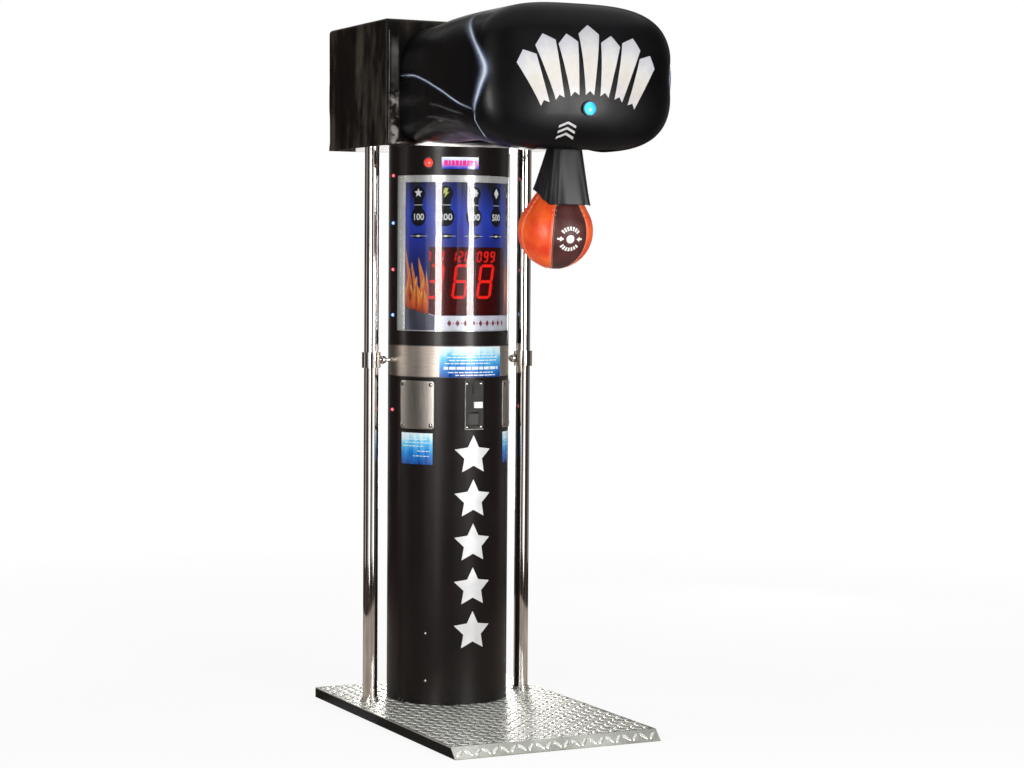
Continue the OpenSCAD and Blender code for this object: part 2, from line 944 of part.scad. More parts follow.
module cash_shelf() {
    color([0.4, 0.4, 0.42])
        union() {
            translate([0, 0, cash_floor - shelf_t])
                cylinder(r = liner_r - 2, h = shelf_t);
            tube(liner_r, liner_r - 3, cash_floor - shelf_t, cash_floor + 14);
        }
}

module cash_box() {
    y = -sqrt(pow(liner_r - 5, 2) - pow(cash_w / 2, 2));
    color([0.55, 0.56, 0.58])
        difference() {
            block([-cash_w / 2, y, cash_floor], [cash_w / 2, y + cash_l, cash_floor + cash_h]);
            block([-cash_w / 2 + cash_t, y + cash_t, cash_floor + cash_t],
                [cash_w / 2 - cash_t, y + cash_l - cash_t, cash_floor + cash_h + 1]);
        }
}

// Service door

module service_door() {
    edge = panel_gap / column_r * 180 / PI;
    color([0.03, 0.03, 0.035])
        difference() {
            union() {
                arc_band(bore_r, column_r, 180, door_half - edge, door_low + panel_gap,
                    door_high - panel_gap);
                on_hinge()
                    for (z = [door_low + 60, door_high - 100])
                        translate([0, 0, z])
                            hinge_leaf(40, -1);
            }
            on_column(lock_angle, lock_z, bore_r - 5)
                cylinder(r = lock_r + run_fit, h = 30);
            on_hinge()
                translate([0, 0, door_low])
                    cylinder(r = pin_r + run_fit, h = door_h);
        }
}

// Puts a piece at the door's hinge line, with x pointing away from the column
module on_hinge() {
    rotate([0, 0, hinge_angle - 90])
        translate([hinge_reach, 0, 0])
            children();
}

// A knuckle with a leaf that lies on the door (side -1) or on the column (side 1)
module hinge_leaf(height, side) {
    lift = 0.4;
    difference() {
        union() {
            cylinder(r = hinge_r, h = height);
            translate([-hinge_reach, 0, 0]) {
                arc_band(column_r + (side < 0 ? lift : 0), column_r + 2.4, 90 + side * 5, 5, 0, height);
                if (side < 0)
                    arc_band(column_r - 1, column_r + 1, 83, 2.5, 0, height);
                block([column_r + 2 * lift, min(0, side * 4), 0], [hinge_reach, max(0, side * 4), height]);
            }
        }
        translate([0, 0, -1])
            cylinder(r = pin_r + run_fit, h = height + 2);
    }
}

module door_hinge() {
    color([0.3, 0.3, 0.32])
        on_hinge() {
            for (z = [door_low + 60, door_high - 100]) {
                translate([0, 0, z + 41])
                    hinge_leaf(20, 1);
                translate([0, 0, z - 21])
                    hinge_leaf(20, 1);
                translate([0, 0, z - 21])
                    cylinder(r = pin_r, h = 82);
            }
        }
}

module door_lock() {
    color([0.8, 0.8, 0.82])
        on_column(lock_angle, lock_z, column_r) {
            difference() {
                translate([0, 0, -column_wall - 7])
                    cylinder(r = lock_r, h = column_wall + 10);
                block([-1, -5, 1], [1, 5, 4]);
            }
            block([-6, -6, -column_wall - 7.5], [6, 34, -column_wall - 4.5]);
        }
}

// Fasteners

// A pan head with a short shank below it
module pan_screw(shank) {
    intersection() {
        cylinder(r = screw_r, h = 2.6);
        translate([0, 0, 2.6 - 6])
            sphere(r = 6);
    }
    if (shank > 0)
        translate([0, 0, -shank])
            cylinder(r = 2, h = shank);
}

module plate_screws() {
    inset = 3.2;
    color([0.8, 0.8, 0.82]) {
        for (side = [-1, 1], corner = [-1, 1], z = [coin_low + 12, coin_high - 12])
            on_column(side * blank_mid + corner * (blank_half - inset), z, column_r + blank_t)
                intersection() {
                    cylinder(r = 7, h = 3);
                    translate([0, 0, 3 - 12])
                        sphere(r = 12);
                }
        for (x = [-1, 1], z = [coin_low + 8, coin_high - 8])
            translate([x * (coin_w / 2 - 8), -column_r - coin_t, z])
                rotate([90, 0, 0])
                    pan_screw(0);
        for (z = [cash_floor + 6, deck_z + foot_h - 13])
            on_column(-45, z)
                pan_screw(0);
    }
}

// Head

module head_plate() {
    color([0.72, 0.73, 0.75])
        difference() {
            union() {
                rounded_plate([-head_plate_w / 2, -cuff_front + shell_t + seat_gap, column_top],
                    [head_plate_w / 2, head_plate_back, plate_top], cuff_round - shell_t);
                block([-tongue_half, -head_plate_front, column_top],
                    [tongue_half, -cuff_front + shell_t + 1, plate_top]);
            }
            translate([0, 0, column_top - 1])
                cylinder(r = 60, h = head_plate_t + 2);
            flange_holes(column_top - 1, plate_top + 1);
        }
}

// A flat plate with round corners
module rounded_plate(low, high, r) {
    block([low[0] + r, low[1], low[2]], [high[0] - r, high[1], high[2]]);
    block([low[0], low[1] + r, low[2]], [high[0], high[1] - r, high[2]]);
    for (x = [low[0] + r, high[0] - r], y = [low[1] + r, high[1] - r])
        translate([x, y, low[2]])
            cylinder(r = r, h = high[2] - low[2]);
}

module rounded_box(low, high, r) {
    hull()
        for (x = [low[0] + r, high[0] - r], y = [low[1] + r, high[1] - r], z = [low[2] + r, high[2] - r])
            translate([x, y, z])
                sphere(r = r, $fn = 32);
}

module cuff_shell() {
    half = cuff_w / 2;
    color([0.05, 0.045, 0.04])
        difference() {
            rounded_box([-half, -cuff_front, column_top - 60], [half, cuff_back, cuff_top], cuff_round);
            rounded_box([-half + shell_t, -cuff_front + shell_t, column_top - 70],
                [half - shell_t, cuff_back - shell_t, cuff_top - shell_t], cuff_round - shell_t);
            block([-half - 5, -cuff_front - 5, column_top - 80], [half + 5, cuff_back + 5, column_top]);
            block([-tongue_half - seat_gap, -cuff_front - 5, column_top - 5],
                [tongue_half + seat_gap, -cuff_front + shell_t + 1, plate_top + seat_gap]);
            glove_form(-seat_gap, 0);
            block([-half - 1 + 80, cuff_back - shell_t - 1, plate_top + 60], [half + 1 - 80, cuff_back + 1,
                cuff_top - 80]);
        }
}

module cuff_panel() {
    half = cuff_w / 2 - 60;
    color([0.05, 0.05, 0.055])
        difference() {
            union() {
                block([-half, cuff_back, plate_top + 40], [half, cuff_back + 3, cuff_top - 60]);
                for (x = [-1, 1], z = [plate_top + 50, (plate_top + cuff_top) / 2 - 10, cuff_top - 70])
                    translate([x * (half - 10), cuff_back + 3, z])
                        rotate([-90, 0, 0])
                            pan_screw(3);
            }
            for (k = [-4 : 4])
                block([-60, cuff_back - 1, (plate_top + cuff_top) / 2 + 12 * k - 2.5],
                    [60, cuff_back + 4, (plate_top + cuff_top) / 2 + 12 * k + 2.5]);
        }
}

// The whole moulded skin of the glove, before it is cut into its top and its tray
module glove_skin() {
    difference() {
        glove_form(0, 0);
        glove_form(shell_t, 30);
    }
}

module glove_shell() {
    color([0.02, 0.02, 0.022])
        difference() {
            glove_skin();
            block([-fist_w, -fist_front - 50, fist_low - 50], [fist_w, 0, glove_split]);
            on_fist()
                translate([0, 0, -40])
                    cylinder(r = start_d / 2 + bezel_rim + seat_gap, h = 80);
        }
}

module glove_tray() {
    color([0.02, 0.02, 0.022]) {
        difference() {
            glove_skin();
            block([-fist_w, -fist_front - 50, glove_split - seat_gap], [fist_w, 0, cuff_top + 50]);
            block([-recess_half, -recess_front, fist_low - 10], [recess_half, -recess_back, plate_top + 5]);
            for (side = [-1, 1])
                rail_room(side * rail_x);
        }
        intersection() {
            glove_form(shell_t - 0.5, 0);
            for (side = [-1, 1], y = [-axle_y + 30, -cuff_front - 180])
                block([side * rail_x - 10, y - 20, fist_low - 10],
                    [side * rail_x + 10, y + 20, rail_low]);
        }
    }
}

module head_frame() {
    bridge_y = -axle_y + stop_reach - bridge_w / 2;
    color([0.2, 0.2, 0.22]) {
        for (side = [-1, 1]) {
            rail(side * rail_x, -axle_y - 70, rail_back);
            for (y = [wrist_lap - cuff_front + 10, rail_back - 60])
                block([side * rail_x - rail_w / 2, y, plate_top], [side * rail_x + rail_w / 2, y + 60,
                    rail_low]);
            block([side * rail_x - rail_w / 2, bridge_y, rail_top],
                [side * rail_x + rail_w / 2, bridge_y + bridge_w, bridge_z]);
        }
        for (y = [-axle_y - 54, -head_plate_front - 40, rail_back - 30])
            block([-rail_x + rail_w / 2, y, rail_low], [rail_x - rail_w / 2, y + stop_bar, rail_top]);
        block([-rail_x - rail_w / 2, bridge_y, bridge_z],
            [rail_x + rail_w / 2, bridge_y + bridge_w, bridge_z + bridge_t]);
        block([latch_plate_x, -axle_y + latch_y - 30, axle_z + latch_z - 14],
            [latch_plate_x + 4, -axle_y + solenoid_y + 54, bridge_z + bridge_t]);
        bar_x(catch_x - catch_t / 2 - 3, latch_plate_x + 1, -axle_y + latch_y, axle_z + latch_z,
            latch_pin_r);
        bar_x(catch_x + catch_t / 2 + seat_gap, latch_plate_x + 1, -axle_y + latch_y,
            axle_z + latch_z, latch_pin_r + 3);
    }
}

module axle_bearings() {
    color([0.35, 0.37, 0.4])
        for (side = [-1, 1])
            difference() {
                union() {
                    block([side * rail_x - block_w / 2, -axle_y - block_l / 2, rail_top],
                        [side * rail_x + block_w / 2, -axle_y + block_l / 2, rail_top + block_foot]);
                    bar_x(side * rail_x - block_w / 2, side * rail_x + block_w / 2, -axle_y, axle_z, 31);
                    block([side * rail_x - block_w / 2, -axle_y - 31, rail_top + 1],
                        [side * rail_x + block_w / 2, -axle_y + 31, axle_z]);
                }
                bar_x(side * rail_x - block_w, side * rail_x + block_w, -axle_y, axle_z,
                    axle_d / 2 + run_fit);
            }
}

// Swinging arm

module swing_axle() {
    color([0.6, 0.62, 0.65])
        difference() {
            union() {
                bar_x(-axle_l / 2, axle_l / 2, -axle_y, axle_z, axle_d / 2);
                bar_x(disc_x, disc_x + disc_t, -axle_y, axle_z, disc_r);
                bar_x(disc_x - 4, disc_x, -axle_y, axle_z, 16);
            }
            for (i = [0 : 23])
                translate([disc_x - 1, -axle_y, axle_z])
                    rotate([15 * i, 0, 0])
                        block([0, disc_r - 9, -1.5], [disc_t + 2, disc_r - 2, 1.5]);
        }
}

module swing_arm() {
    color([0.25, 0.26, 0.28])
        difference() {
            union() {
                bar_x(-hub_l / 2, hub_l / 2, -axle_y, axle_z, hub_r);
                bar_x(hub_l / 2 - 1, catch_x + catch_t / 2 + 1, -axle_y, axle_z, boss_r);
                on_arm()
                    translate([0, 0, -arm_l + neck_h - 60])
                        cylinder(r = arm_d / 2, h = arm_l - neck_h + 60 - boss_r);
                translate([catch_x - catch_t / 2, -axle_y, axle_z])
                    rotate([catch_angle, 0, 0])
                        block([0, boss_r - 4, -7], [catch_t, catch_r, 7]);
            }
            bar_x(-hub_l, hub_l + 20, -axle_y, axle_z, axle_d / 2 + run_fit / 2);
        }
}

module ball() {
    tangent = sqrt(pow(ball_r, 2) - pow(shoulder_h, 2));
    bottom = -atan2(shoulder_h, tangent);
    outline = concat(
        [[0, -ball_r]],
        [for (i = [1 : 24]) let(a = -90 + (90 - bottom) * i / 24) [ball_r * cos(a), ball_r * sin(a)]],
        [[neck_r, neck_h], [0, neck_h]]
    );
    color([0.9, 0.25, 0.08])
        on_arm()
            translate([0, 0, -arm_l])
                difference() {
                    rotate_extrude()
                        polygon(outline);
                    translate([0, 0, neck_h - 60 - seat_gap])
                        cylinder(r = arm_d / 2 + seat_gap, h = 80);
                }
}

function sleeve_ring(t, inset) =
    let(front = sleeve_front + (hem_front - sleeve_front) * t,
        back = axle_y - 40 + (hem_back - axle_y + 40) * t,
        half = cuff_half + (hem_half - cuff_half) * t,
        z = sleeve_top + (sleeve_low - sleeve_top) * t)
    [for (i = [0 : 31])
        let(a = 360 * i / 32)
            [
                (half - inset) * sign_power(cos(a), 0.5),
                -(front + back) / 2 + ((front - back) / 2 - inset) * sign_power(sin(a), 0.5),
                z
            ]];

module sleeve_form(inset, low, high) {
    loft(concat(sleeve_ring(low, inset), sleeve_ring(high, inset)), 32, 2);
}

module sleeve() {
    share = sleeve_t / (sleeve_top - sleeve_low);
    color([0.06, 0.06, 0.065])
        difference() {
            sleeve_form(0, 0, 1);
            sleeve_form(sleeve_t, share, 1.2);
            on_arm()
                translate([0, 0, -arm_l])
                    cylinder(r = arm_d / 2 + seat_gap, h = arm_l);
            translate([-200, -hem_front, sleeve_low])
                rotate([22, 0, 0])
                    translate([0, -40, -200])
                        cube([400, 400, 200]);
        }
}

// The two rubber buffers that the arm rests against, hanging and swung up
module arm_stops() {
    gap = seat_gap;
    color([0.08, 0.08, 0.08]) {
        difference() {
            on_arm()
                translate([0, -arm_d / 2 - gap, -stop_reach + 30])
                    rotate([90, 0, 0])
                        cylinder(r = buffer_r, h = 60);
            block([-50, -axle_y - 200, rail_low - 50], [50, -axle_y - 54 + stop_bar, rail_top + 50]);
        }
        difference() {
            on_arm()
                rotate([swing, 0, 0])
                    translate([0, arm_d / 2 + gap, -stop_reach])
                        rotate([-90, 0, 0])
                            cylinder(r = buffer_r - 3, h = 120);
            block([-50, -axle_y, bridge_z], [50, 0, bridge_z + 200]);
        }
    }
}

// The fork beside the rail that reads the slots in the axle's disc
module speed_sensor() {
    rail_side = rail_x + rail_w / 2;
    out = disc_x + disc_t + 7;
    color([0.1, 0.1, 0.1])
        difference() {
            union() {
                block([rail_side, -axle_y - 15, rail_top - 26], [out, -axle_y + 15, rail_top - 2]);
                block([rail_x + block_w / 2 + 0.5, -axle_y - 15, rail_top - 3],
                    [out, -axle_y + 15, axle_z - disc_r + 10]);
            }
            block([disc_x - 1.5, -axle_y - 16, axle_z - disc_r - 2],
                [disc_x + disc_t + 1.5, -axle_y + 16, axle_z]);
        }
}

// Latch

// Puts a piece at the latch's pin, with x across the machine
module at_latch() {
    translate([0, -axle_y + latch_y, axle_z + latch_z])
        children();
}

module latch_hook() {
    color([0.55, 0.56, 0.6])
        at_latch()
            difference() {
                translate([catch_x - catch_t / 2, 0, 0]) {
                    rotate([latch_rest, 0, 0])
                        block([0, -8, -5], [catch_t, latch_reach, 5]);
                    rotate([90, 0, 0])
                        block([0, 0, -5], [catch_t, tail_l + 6, 5]);
                }
                bar_x(0, 2 * catch_x, 0, 0, latch_pin_r + run_fit);
            }
}

module latch_solenoid() {
    half = solenoid_w / 2;
    color([0.5, 0.35, 0.12])
        at_latch()
            difference() {
                block([catch_x - half, solenoid_y - latch_y, tail_l - half],
                    [catch_x + half, solenoid_y - latch_y + 50, tail_l + half - 2]);
                translate([catch_x, solenoid_y - latch_y - 1, tail_l])
                    rotate([-90, 0, 0])
                        cylinder(r = plunger_r + run_fit, h = 46);
            }
}

module latch_plunger() {
    face = 5 + seat_gap;
    color([0.7, 0.71, 0.73])
        at_latch()
            translate([catch_x, 0, tail_l])
                rotate([-90, 0, 0]) {
                    translate([0, 0, face])
                        cylinder(r = plunger_tip_r, h = 14);
                    translate([0, 0, face + 13])
                        cylinder(r = plunger_r, h = solenoid_y - latch_y + 43 - face - 13);
                }
}

base_board();
tread_plate();
column_flanges();
flange_bolts();
lower_column();
column_band();
joint_collar();
upper_column();
clear_cover();
window_frame();
print_sheet();
display_filter();
display_shelf();
display_digits();
main_board();
power_supply();
speaker();
power_inlet();
red_lamps();
blue_lamps();
lit_sign();
button_housings();
red_button();
start_button();
left_post();
right_post();
post_collars();
clamp_rings();
clamp_bolts();
blanking_plates();
plate_screws();
blue_labels();
star_badges();
coin_plate();
coin_validator();
coin_cup();
coin_chute();
reject_button();
return_flap();
cash_shelf();
cash_box();
service_door();
door_hinge();
door_lock();
head_plate();
cuff_shell();
cuff_panel();
glove_shell();
glove_tray();
head_frame();
axle_bearings();
arm_stops();
speed_sensor();
swing_axle();
swing_arm();
ball();
sleeve();
latch_hook();
latch_solenoid();
latch_plunger();
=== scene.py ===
import math
import bmesh
import bpy
import numpy as np
from mathutils import Matrix, Vector


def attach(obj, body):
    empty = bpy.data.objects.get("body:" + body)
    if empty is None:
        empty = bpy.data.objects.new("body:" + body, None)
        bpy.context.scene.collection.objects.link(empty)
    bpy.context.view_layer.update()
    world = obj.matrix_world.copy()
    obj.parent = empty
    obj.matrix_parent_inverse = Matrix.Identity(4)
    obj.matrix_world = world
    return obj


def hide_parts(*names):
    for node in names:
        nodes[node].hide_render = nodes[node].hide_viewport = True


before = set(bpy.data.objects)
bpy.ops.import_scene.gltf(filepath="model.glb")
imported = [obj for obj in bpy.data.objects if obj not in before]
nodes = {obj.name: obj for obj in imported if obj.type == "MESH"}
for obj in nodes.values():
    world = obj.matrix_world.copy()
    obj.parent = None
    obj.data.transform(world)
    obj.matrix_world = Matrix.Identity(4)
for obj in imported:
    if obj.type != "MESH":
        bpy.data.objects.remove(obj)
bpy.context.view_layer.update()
print("frame loaded", len(nodes), "nodes")

weldWithin, thinnest = 2e-6, 1e-7  # points closer than the first are welded, thinner faces dissolved
socketNames = {"colour": "Base Color", "rough": "Roughness", "metal": "Metallic", "specular": "Specular IOR Level",
               "coat": "Coat Weight", "coatRough": "Coat Roughness", "normal": "Normal",
               "lightColour": "Emission Color", "light": "Emission Strength"}


# Nodes of a material.

def linear(colour):
    # red, green and blue as seen on screen, 0 to 255, turned into linear light;
    # a single number is a linear grey, and four numbers are linear already
    if isinstance(colour, (int, float)):
        return (colour, colour, colour, 1.0)
    if len(colour) == 4:
        return colour
    share = np.array(colour) / 255.0
    light = np.where(share <= 0.04045, share / 12.92, ((share + 0.055) / 1.055) ** 2.4)
    return (*light.tolist(), 1.0)


def add(tree, kind, sockets=None, **settings):
    node = tree.nodes.new(kind)
    for key, value in settings.items():
        setattr(node, key, value)
    for key, value in (sockets or {}).items():
        if isinstance(value, bpy.types.NodeSocket):
            tree.links.new(value, node.inputs[key])
        else:
            node.inputs[key].default_value = value
    return node


def calc(tree, operation, first, second=0.0):
    return add(tree, "ShaderNodeMath", {0: first, 1: second}, operation=operation).outputs[0]


def ramp(tree, factor, stops, smooth=False):
    node = add(tree, "ShaderNodeValToRGB", {"Fac": factor})
    elements = node.color_ramp.elements
    node.color_ramp.interpolation = "EASE" if smooth else "LINEAR"
    while len(elements) < len(stops):
        elements.new(0.5)
    for element, (place, colour) in zip(elements, stops):
        element.position = place
        element.color = linear(colour)
    return node.outputs["Color"]


def wavering(tree, place, drift, stops):
    # colours along a place, with the drift added to it
    return ramp(tree, calc(tree, "ADD", place, drift), stops)


def noise(tree, scale, stretch=(1, 1, 1), detail=3.0):
    coords = add(tree, "ShaderNodeTexCoord").outputs["Object"]
    mapped = add(tree, "ShaderNodeMapping", {"Vector": coords, "Scale": stretch}).outputs["Vector"]
    return add(tree, "ShaderNodeTexNoise", {"Vector": mapped, "Scale": scale, "Detail": detail}).outputs["Fac"]


def spread(tree, factor, low, high, start=0.3, end=0.7):
    # the factor's range from start to end becomes low to high
    sockets = {"Value": factor, "From Min": start, "From Max": end, "To Min": low, "To Max": high}
    return add(tree, "ShaderNodeMapRange", sockets).outputs["Result"]


def bump(tree, height, strength, distance):
    sockets = {"Height": height, "Strength": strength, "Distance": distance}
    return add(tree, "ShaderNodeBump", sockets).outputs["Normal"]


def objectHeight(tree):
    coords = add(tree, "ShaderNodeTexCoord").outputs["Object"]
    return add(tree, "ShaderNodeSeparateXYZ", {"Vector": coords}).outputs["Z"]


def uvAxis(tree, letter):
    coords = add(tree, "ShaderNodeUVMap", uv_map="UVMap").outputs["UV"]
    return add(tree, "ShaderNodeSeparateXYZ", {"Vector": coords}).outputs[letter]


def blank(name):
    material = bpy.data.materials.new(name)
    material.use_nodes = True
    material.node_tree.nodes.clear()
    return material, material.node_tree


def surface(tree, **values):
    # the Principled shader, its sockets called by the short names above
    sockets = {socketNames[key]: value for key, value in values.items()}
    return add(tree, "ShaderNodeBsdfPrincipled", sockets).outputs["BSDF"]


def emission(tree, colour, strength):
    return add(tree, "ShaderNodeEmission", {"Color": colour, "Strength": strength}).outputs["Emission"]


def close(material, shader):
    add(material.node_tree, "ShaderNodeOutputMaterial", {"Surface": shader})
    return material


def seeThrough(material, share, shader, tint=(1, 1, 1, 1)):
    # the shader where the share is 1, a clear sheet of the tint where it is 0
    tree = material.node_tree
    clear = add(tree, "ShaderNodeBsdfTransparent", {"Color": tint}).outputs["BSDF"]
    close(material, add(tree, "ShaderNodeMixShader", {0: share, 1: clear, 2: shader}).outputs[0])
    material.surface_render_method = "BLENDED"
    return material


def finish(name, dark, light, rough, scale=18, stretch=(1, 1, 1), grain=0.0, grainScale=900, **extra):
    # every plain finish: two close shades in soft patches, roughness that drifts, a fine grain
    material, tree = blank(name)
    if grain:
        extra["normal"] = bump(tree, noise(tree, grainScale, stretch, 2.0), grain, 0.0006)
    colour = ramp(tree, noise(tree, scale, stretch), [(0.3, dark), (0.7, light)])
    drift = spread(tree, noise(tree, scale * 1.7, stretch), *rough)
    return close(material, surface(tree, colour=colour, rough=drift, **extra))


def glow(name, core, edge, strength):
    # a lit lens: bright where it faces the eye, deeper at its rim
    material, tree = blank(name)
    facing = add(tree, "ShaderNodeLayerWeight", {"Blend": 0.45}).outputs["Facing"]
    colour = wavering(tree, facing, spread(tree, noise(tree, 60), 0.0, 0.12), [(0.05, core), (0.75, edge)])
    return close(material, surface(tree, colour=colour, rough=0.12, lightColour=colour, light=strength, coat=0.6))


def upright(name, stops, rough, low, high, strength, coat):
    # a lit colour that runs up the piece between two heights, with faint cloudiness
    material, tree = blank(name)
    share = spread(tree, objectHeight(tree), 0.0, 1.0, low, high)
    colour = wavering(tree, share, spread(tree, noise(tree, 25), -0.05, 0.05), stops)
    drift = spread(tree, noise(tree, 40), *rough)
    return close(material, surface(tree, colour=colour, rough=drift, lightColour=colour, light=strength, coat=coat))


# Shapes as arrays of points.

def together(*axes):
    # coordinates, each an array or one number, as an array of points
    return np.stack(np.broadcast_arrays(*axes), axis=-1)


def between(first, last, share):
    return first + (last - first) * share


def ease(share):
    # from 0 to 1, slow at both ends: 3 s^2 - 2 s^3
    share = np.clip(share, 0, 1)
    return share * share * (3 - 2 * share)


def blendTo(first, last, share):
    return between(first, last, ease(share))


def signPower(value, power):
    return np.sign(value) * np.abs(value) ** power


def onColumn(angle, height, radius):
    # a point on the column: angle 0 looks at the player, positive to the right
    return together(radius * np.sin(angle), -radius * np.cos(angle), height)


def unitGrid(rows, columns):
    # the two parameters of a patch, each from 0 to 1
    return np.meshgrid(np.linspace(0, 1, rows), np.linspace(0, 1, columns), indexing="ij")


def gridFaces(rows, columns, closed):
    # the corners of each face of a grid; closed joins its last column to its first
    i, j = np.meshgrid(np.arange(rows - 1), np.arange(columns if closed else columns - 1), indexing="ij")
    here, beside = i * columns + j, i * columns + (j + 1) % columns
    return np.stack([here, beside, beside + columns, here + columns], axis=-1).reshape(-1, 4)


def spinRing(count):
    # angles once round, without the last that would meet the first
    return np.linspace(0, 2 * np.pi, count + 1)[:-1]


def linked(name, data):
    obj = bpy.data.objects.new(name, data)
    bpy.context.scene.collection.objects.link(obj)
    return obj


class Gather:
    # collects patches and turns them into one piece

    def __init__(self):
        self.points, self.faces, self.uvs, self.slots, self.count = [], [], [], [], 0

    def add(self, points, faces, uv=None, slot=0):
        points = np.asarray(points, dtype=float).reshape(-1, 3)
        self.points.append(points)
        self.uvs.append(np.zeros((len(points), 2)) if uv is None else np.asarray(uv, dtype=float).reshape(-1, 2))
        self.faces.extend((np.asarray(faces) + self.count).tolist())
        self.slots.extend([slot] * len(faces))
        self.count += len(points)

    def grid(self, points, uv=None, slot=0, closed=False):
        self.add(points, gridFaces(*points.shape[:2], closed), uv, slot)

    def patch(self, low, high, start, end, radius, slot=0, rows=10, step=1.6):
        # a patch of the column between two heights and two angles in degrees
        u, v = unitGrid(rows, max(3, int(abs(end - start) / step) + 2))
        angle = np.radians(between(start, end, v))
        self.grid(onColumn(angle, between(low, high, u), radius), together(v, u), slot)

    def fill(self, outline, middle, height, radius, slot=0):
        # a flat outline, filled by rings that shrink to its middle, and laid on the column
        outline = np.asarray(outline, dtype=float)
        share = np.linspace(1, 0.01, 5)[:, None]
        x, z = outline[:, 0] * share, outline[:, 1] * share
        spots = onColumn(math.radians(middle) + x / radius, height + z, radius)
        self.grid(spots, together(share, (z - outline[:, 1].min()) / np.ptp(outline[:, 1])), slot, True)

    def mesh(self, name, materials):
        mesh = bpy.data.meshes.new(name)
        mesh.from_pydata(np.concatenate(self.points).tolist(), [], self.faces)
        for material in materials:
            mesh.materials.append(material)
        mesh.polygons.foreach_set("material_index", np.array(self.slots, dtype=np.int32))
        mesh.polygons.foreach_set("use_smooth", np.full(len(mesh.polygons), True))
        corners = np.zeros(len(mesh.loops), dtype=np.int32)
        mesh.loops.foreach_get("vertex_index", corners)
        layer = mesh.uv_layers.new(name="UVMap")
        layer.data.foreach_set("uv", np.concatenate(self.uvs)[corners].ravel().astype(np.float32))
        return mesh

    def piece(self, name, body, materials, facing, merge=False):
        mesh = self.mesh(name, materials)
        turnFaces(mesh, facing, merge)
        obj = linked(name, mesh)
        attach(obj, body)
        return obj


def turnFaces(mesh, facing, merge):
    # facing: "closed" for a closed skin, or a function that says where a face with this middle looks
    work = bmesh.new()
    work.from_mesh(mesh)
    if merge:
        bmesh.ops.remove_doubles(work, verts=work.verts, dist=weldWithin)
        bmesh.ops.dissolve_degenerate(work, edges=work.edges, dist=thinnest)
    if facing == "closed":
        bmesh.ops.recalc_face_normals(work, faces=work.faces)
    else:
        wrong = [face for face in work.faces if face.normal.dot(facing(face.calc_center_median())) < 0]
        bmesh.ops.reverse_faces(work, faces=wrong)
    work.to_mesh(mesh)
    work.free()


def fromColumn(centre):
    return Vector((centre.x, centre.y, 0))


def fromMiddlePlane(centre):
    return Vector((centre.x, 0, 0))


def toPlayer(centre):
    return Vector((0, -1, 0))


def applied(obj):
    # the mesh with its modifiers worked in
    graph = bpy.context.evaluated_depsgraph_get()
    graph.update()
    mesh = bpy.data.meshes.new_from_object(obj.evaluated_get(graph))
    obj.modifiers.clear()
    obj.data = mesh


def thicken(obj, thickness):
    # a skin gets its wall on the inner side
    wall = obj.modifiers.new("wall", "SOLIDIFY")
    wall.thickness, wall.offset = thickness, -1
    applied(obj)


def addBlock(work, low, high):
    made = bmesh.ops.create_cube(work, size=1.0)
    for vertex in made["verts"]:
        vertex.co = Vector([low[k] + (vertex.co[k] + 0.5) * (high[k] - low[k]) for k in range(3)])


def cut(obj, work, sharpAngle):
    # takes the closed shapes in the bmesh out of the piece and marks its sharp edges
    mesh = bpy.data.meshes.new("cutter")
    bmesh.ops.recalc_face_normals(work, faces=work.faces)
    work.to_mesh(mesh)
    work.free()
    cutter = linked("cutter", mesh)
    change = obj.modifiers.new("cut", "BOOLEAN")
    change.operation, change.solver, change.object = "DIFFERENCE", "EXACT", cutter
    applied(obj)
    bpy.data.objects.remove(cutter)
    obj.data.set_sharp_from_angle(angle=math.radians(sharpAngle))


# Finishes, one for each material of the record.

def brushedFinish(name, dark, light, rough, stretch):
    # brushed steel: long fine scratches across the stretch, in bands of slightly different shade
    material, tree = blank(name)
    lines = noise(tree, 22, stretch, 5.0)
    broad = noise(tree, 9, (2.5, 2.5, 0.3), 1.0)
    half = calc(tree, "MULTIPLY", calc(tree, "ADD", lines, broad), 0.5)
    return close(material, surface(tree, colour=ramp(tree, half, [(0.36, dark), (0.62, light)]), metal=1.0,
                                   rough=spread(tree, lines, *rough), normal=bump(tree, lines, 0.12, 0.0004)))


def clearFinish():
    # clear sheet: see-through, with a mirror that grows towards grazing view
    material, tree = blank("clearPlastic")
    mirror = surface(tree, colour=(1, 1, 1, 1), metal=1.0, rough=spread(tree, noise(tree, 12), 0.015, 0.03))
    # only the side that looks out mirrors: inner faces would turn black past 44 degrees
    outer = calc(tree, "SUBTRACT", 1.0, add(tree, "ShaderNodeNewGeometry").outputs["Backfacing"])
    mirrored = add(tree, "ShaderNodeFresnel", {"IOR": 1.49}).outputs["Fac"]
    return seeThrough(material, calc(tree, "MULTIPLY", mirrored, outer), mirror, (0.97, 0.975, 0.98, 1))


def filterFinish():
    # dark red sheet: lets red light through and shows a deep red ground
    material, tree = blank("redFilter")
    colour = ramp(tree, noise(tree, 14), [(0.3, (58, 4, 12)), (0.7, (78, 7, 16))])
    return seeThrough(material, 0.32, surface(tree, colour=colour, rough=0.3), (1.0, 0.22, 0.18, 1))


def gloveFinish():
    # black gloss moulding with a barely lighter cloud of airbrush
    material, tree = blank("gloveMoulding")
    colour = ramp(tree, noise(tree, 5, detail=2.0), [(0.35, (5, 5, 6)), (0.75, (12, 12, 15))])
    return close(material, surface(tree, colour=colour, rough=spread(tree, noise(tree, 9), 0.3, 0.42), specular=0.14,
                                   coat=0.03, coatRough=0.1, normal=bump(tree, noise(tree, 7, detail=2.0), 0.12, 0.01)))


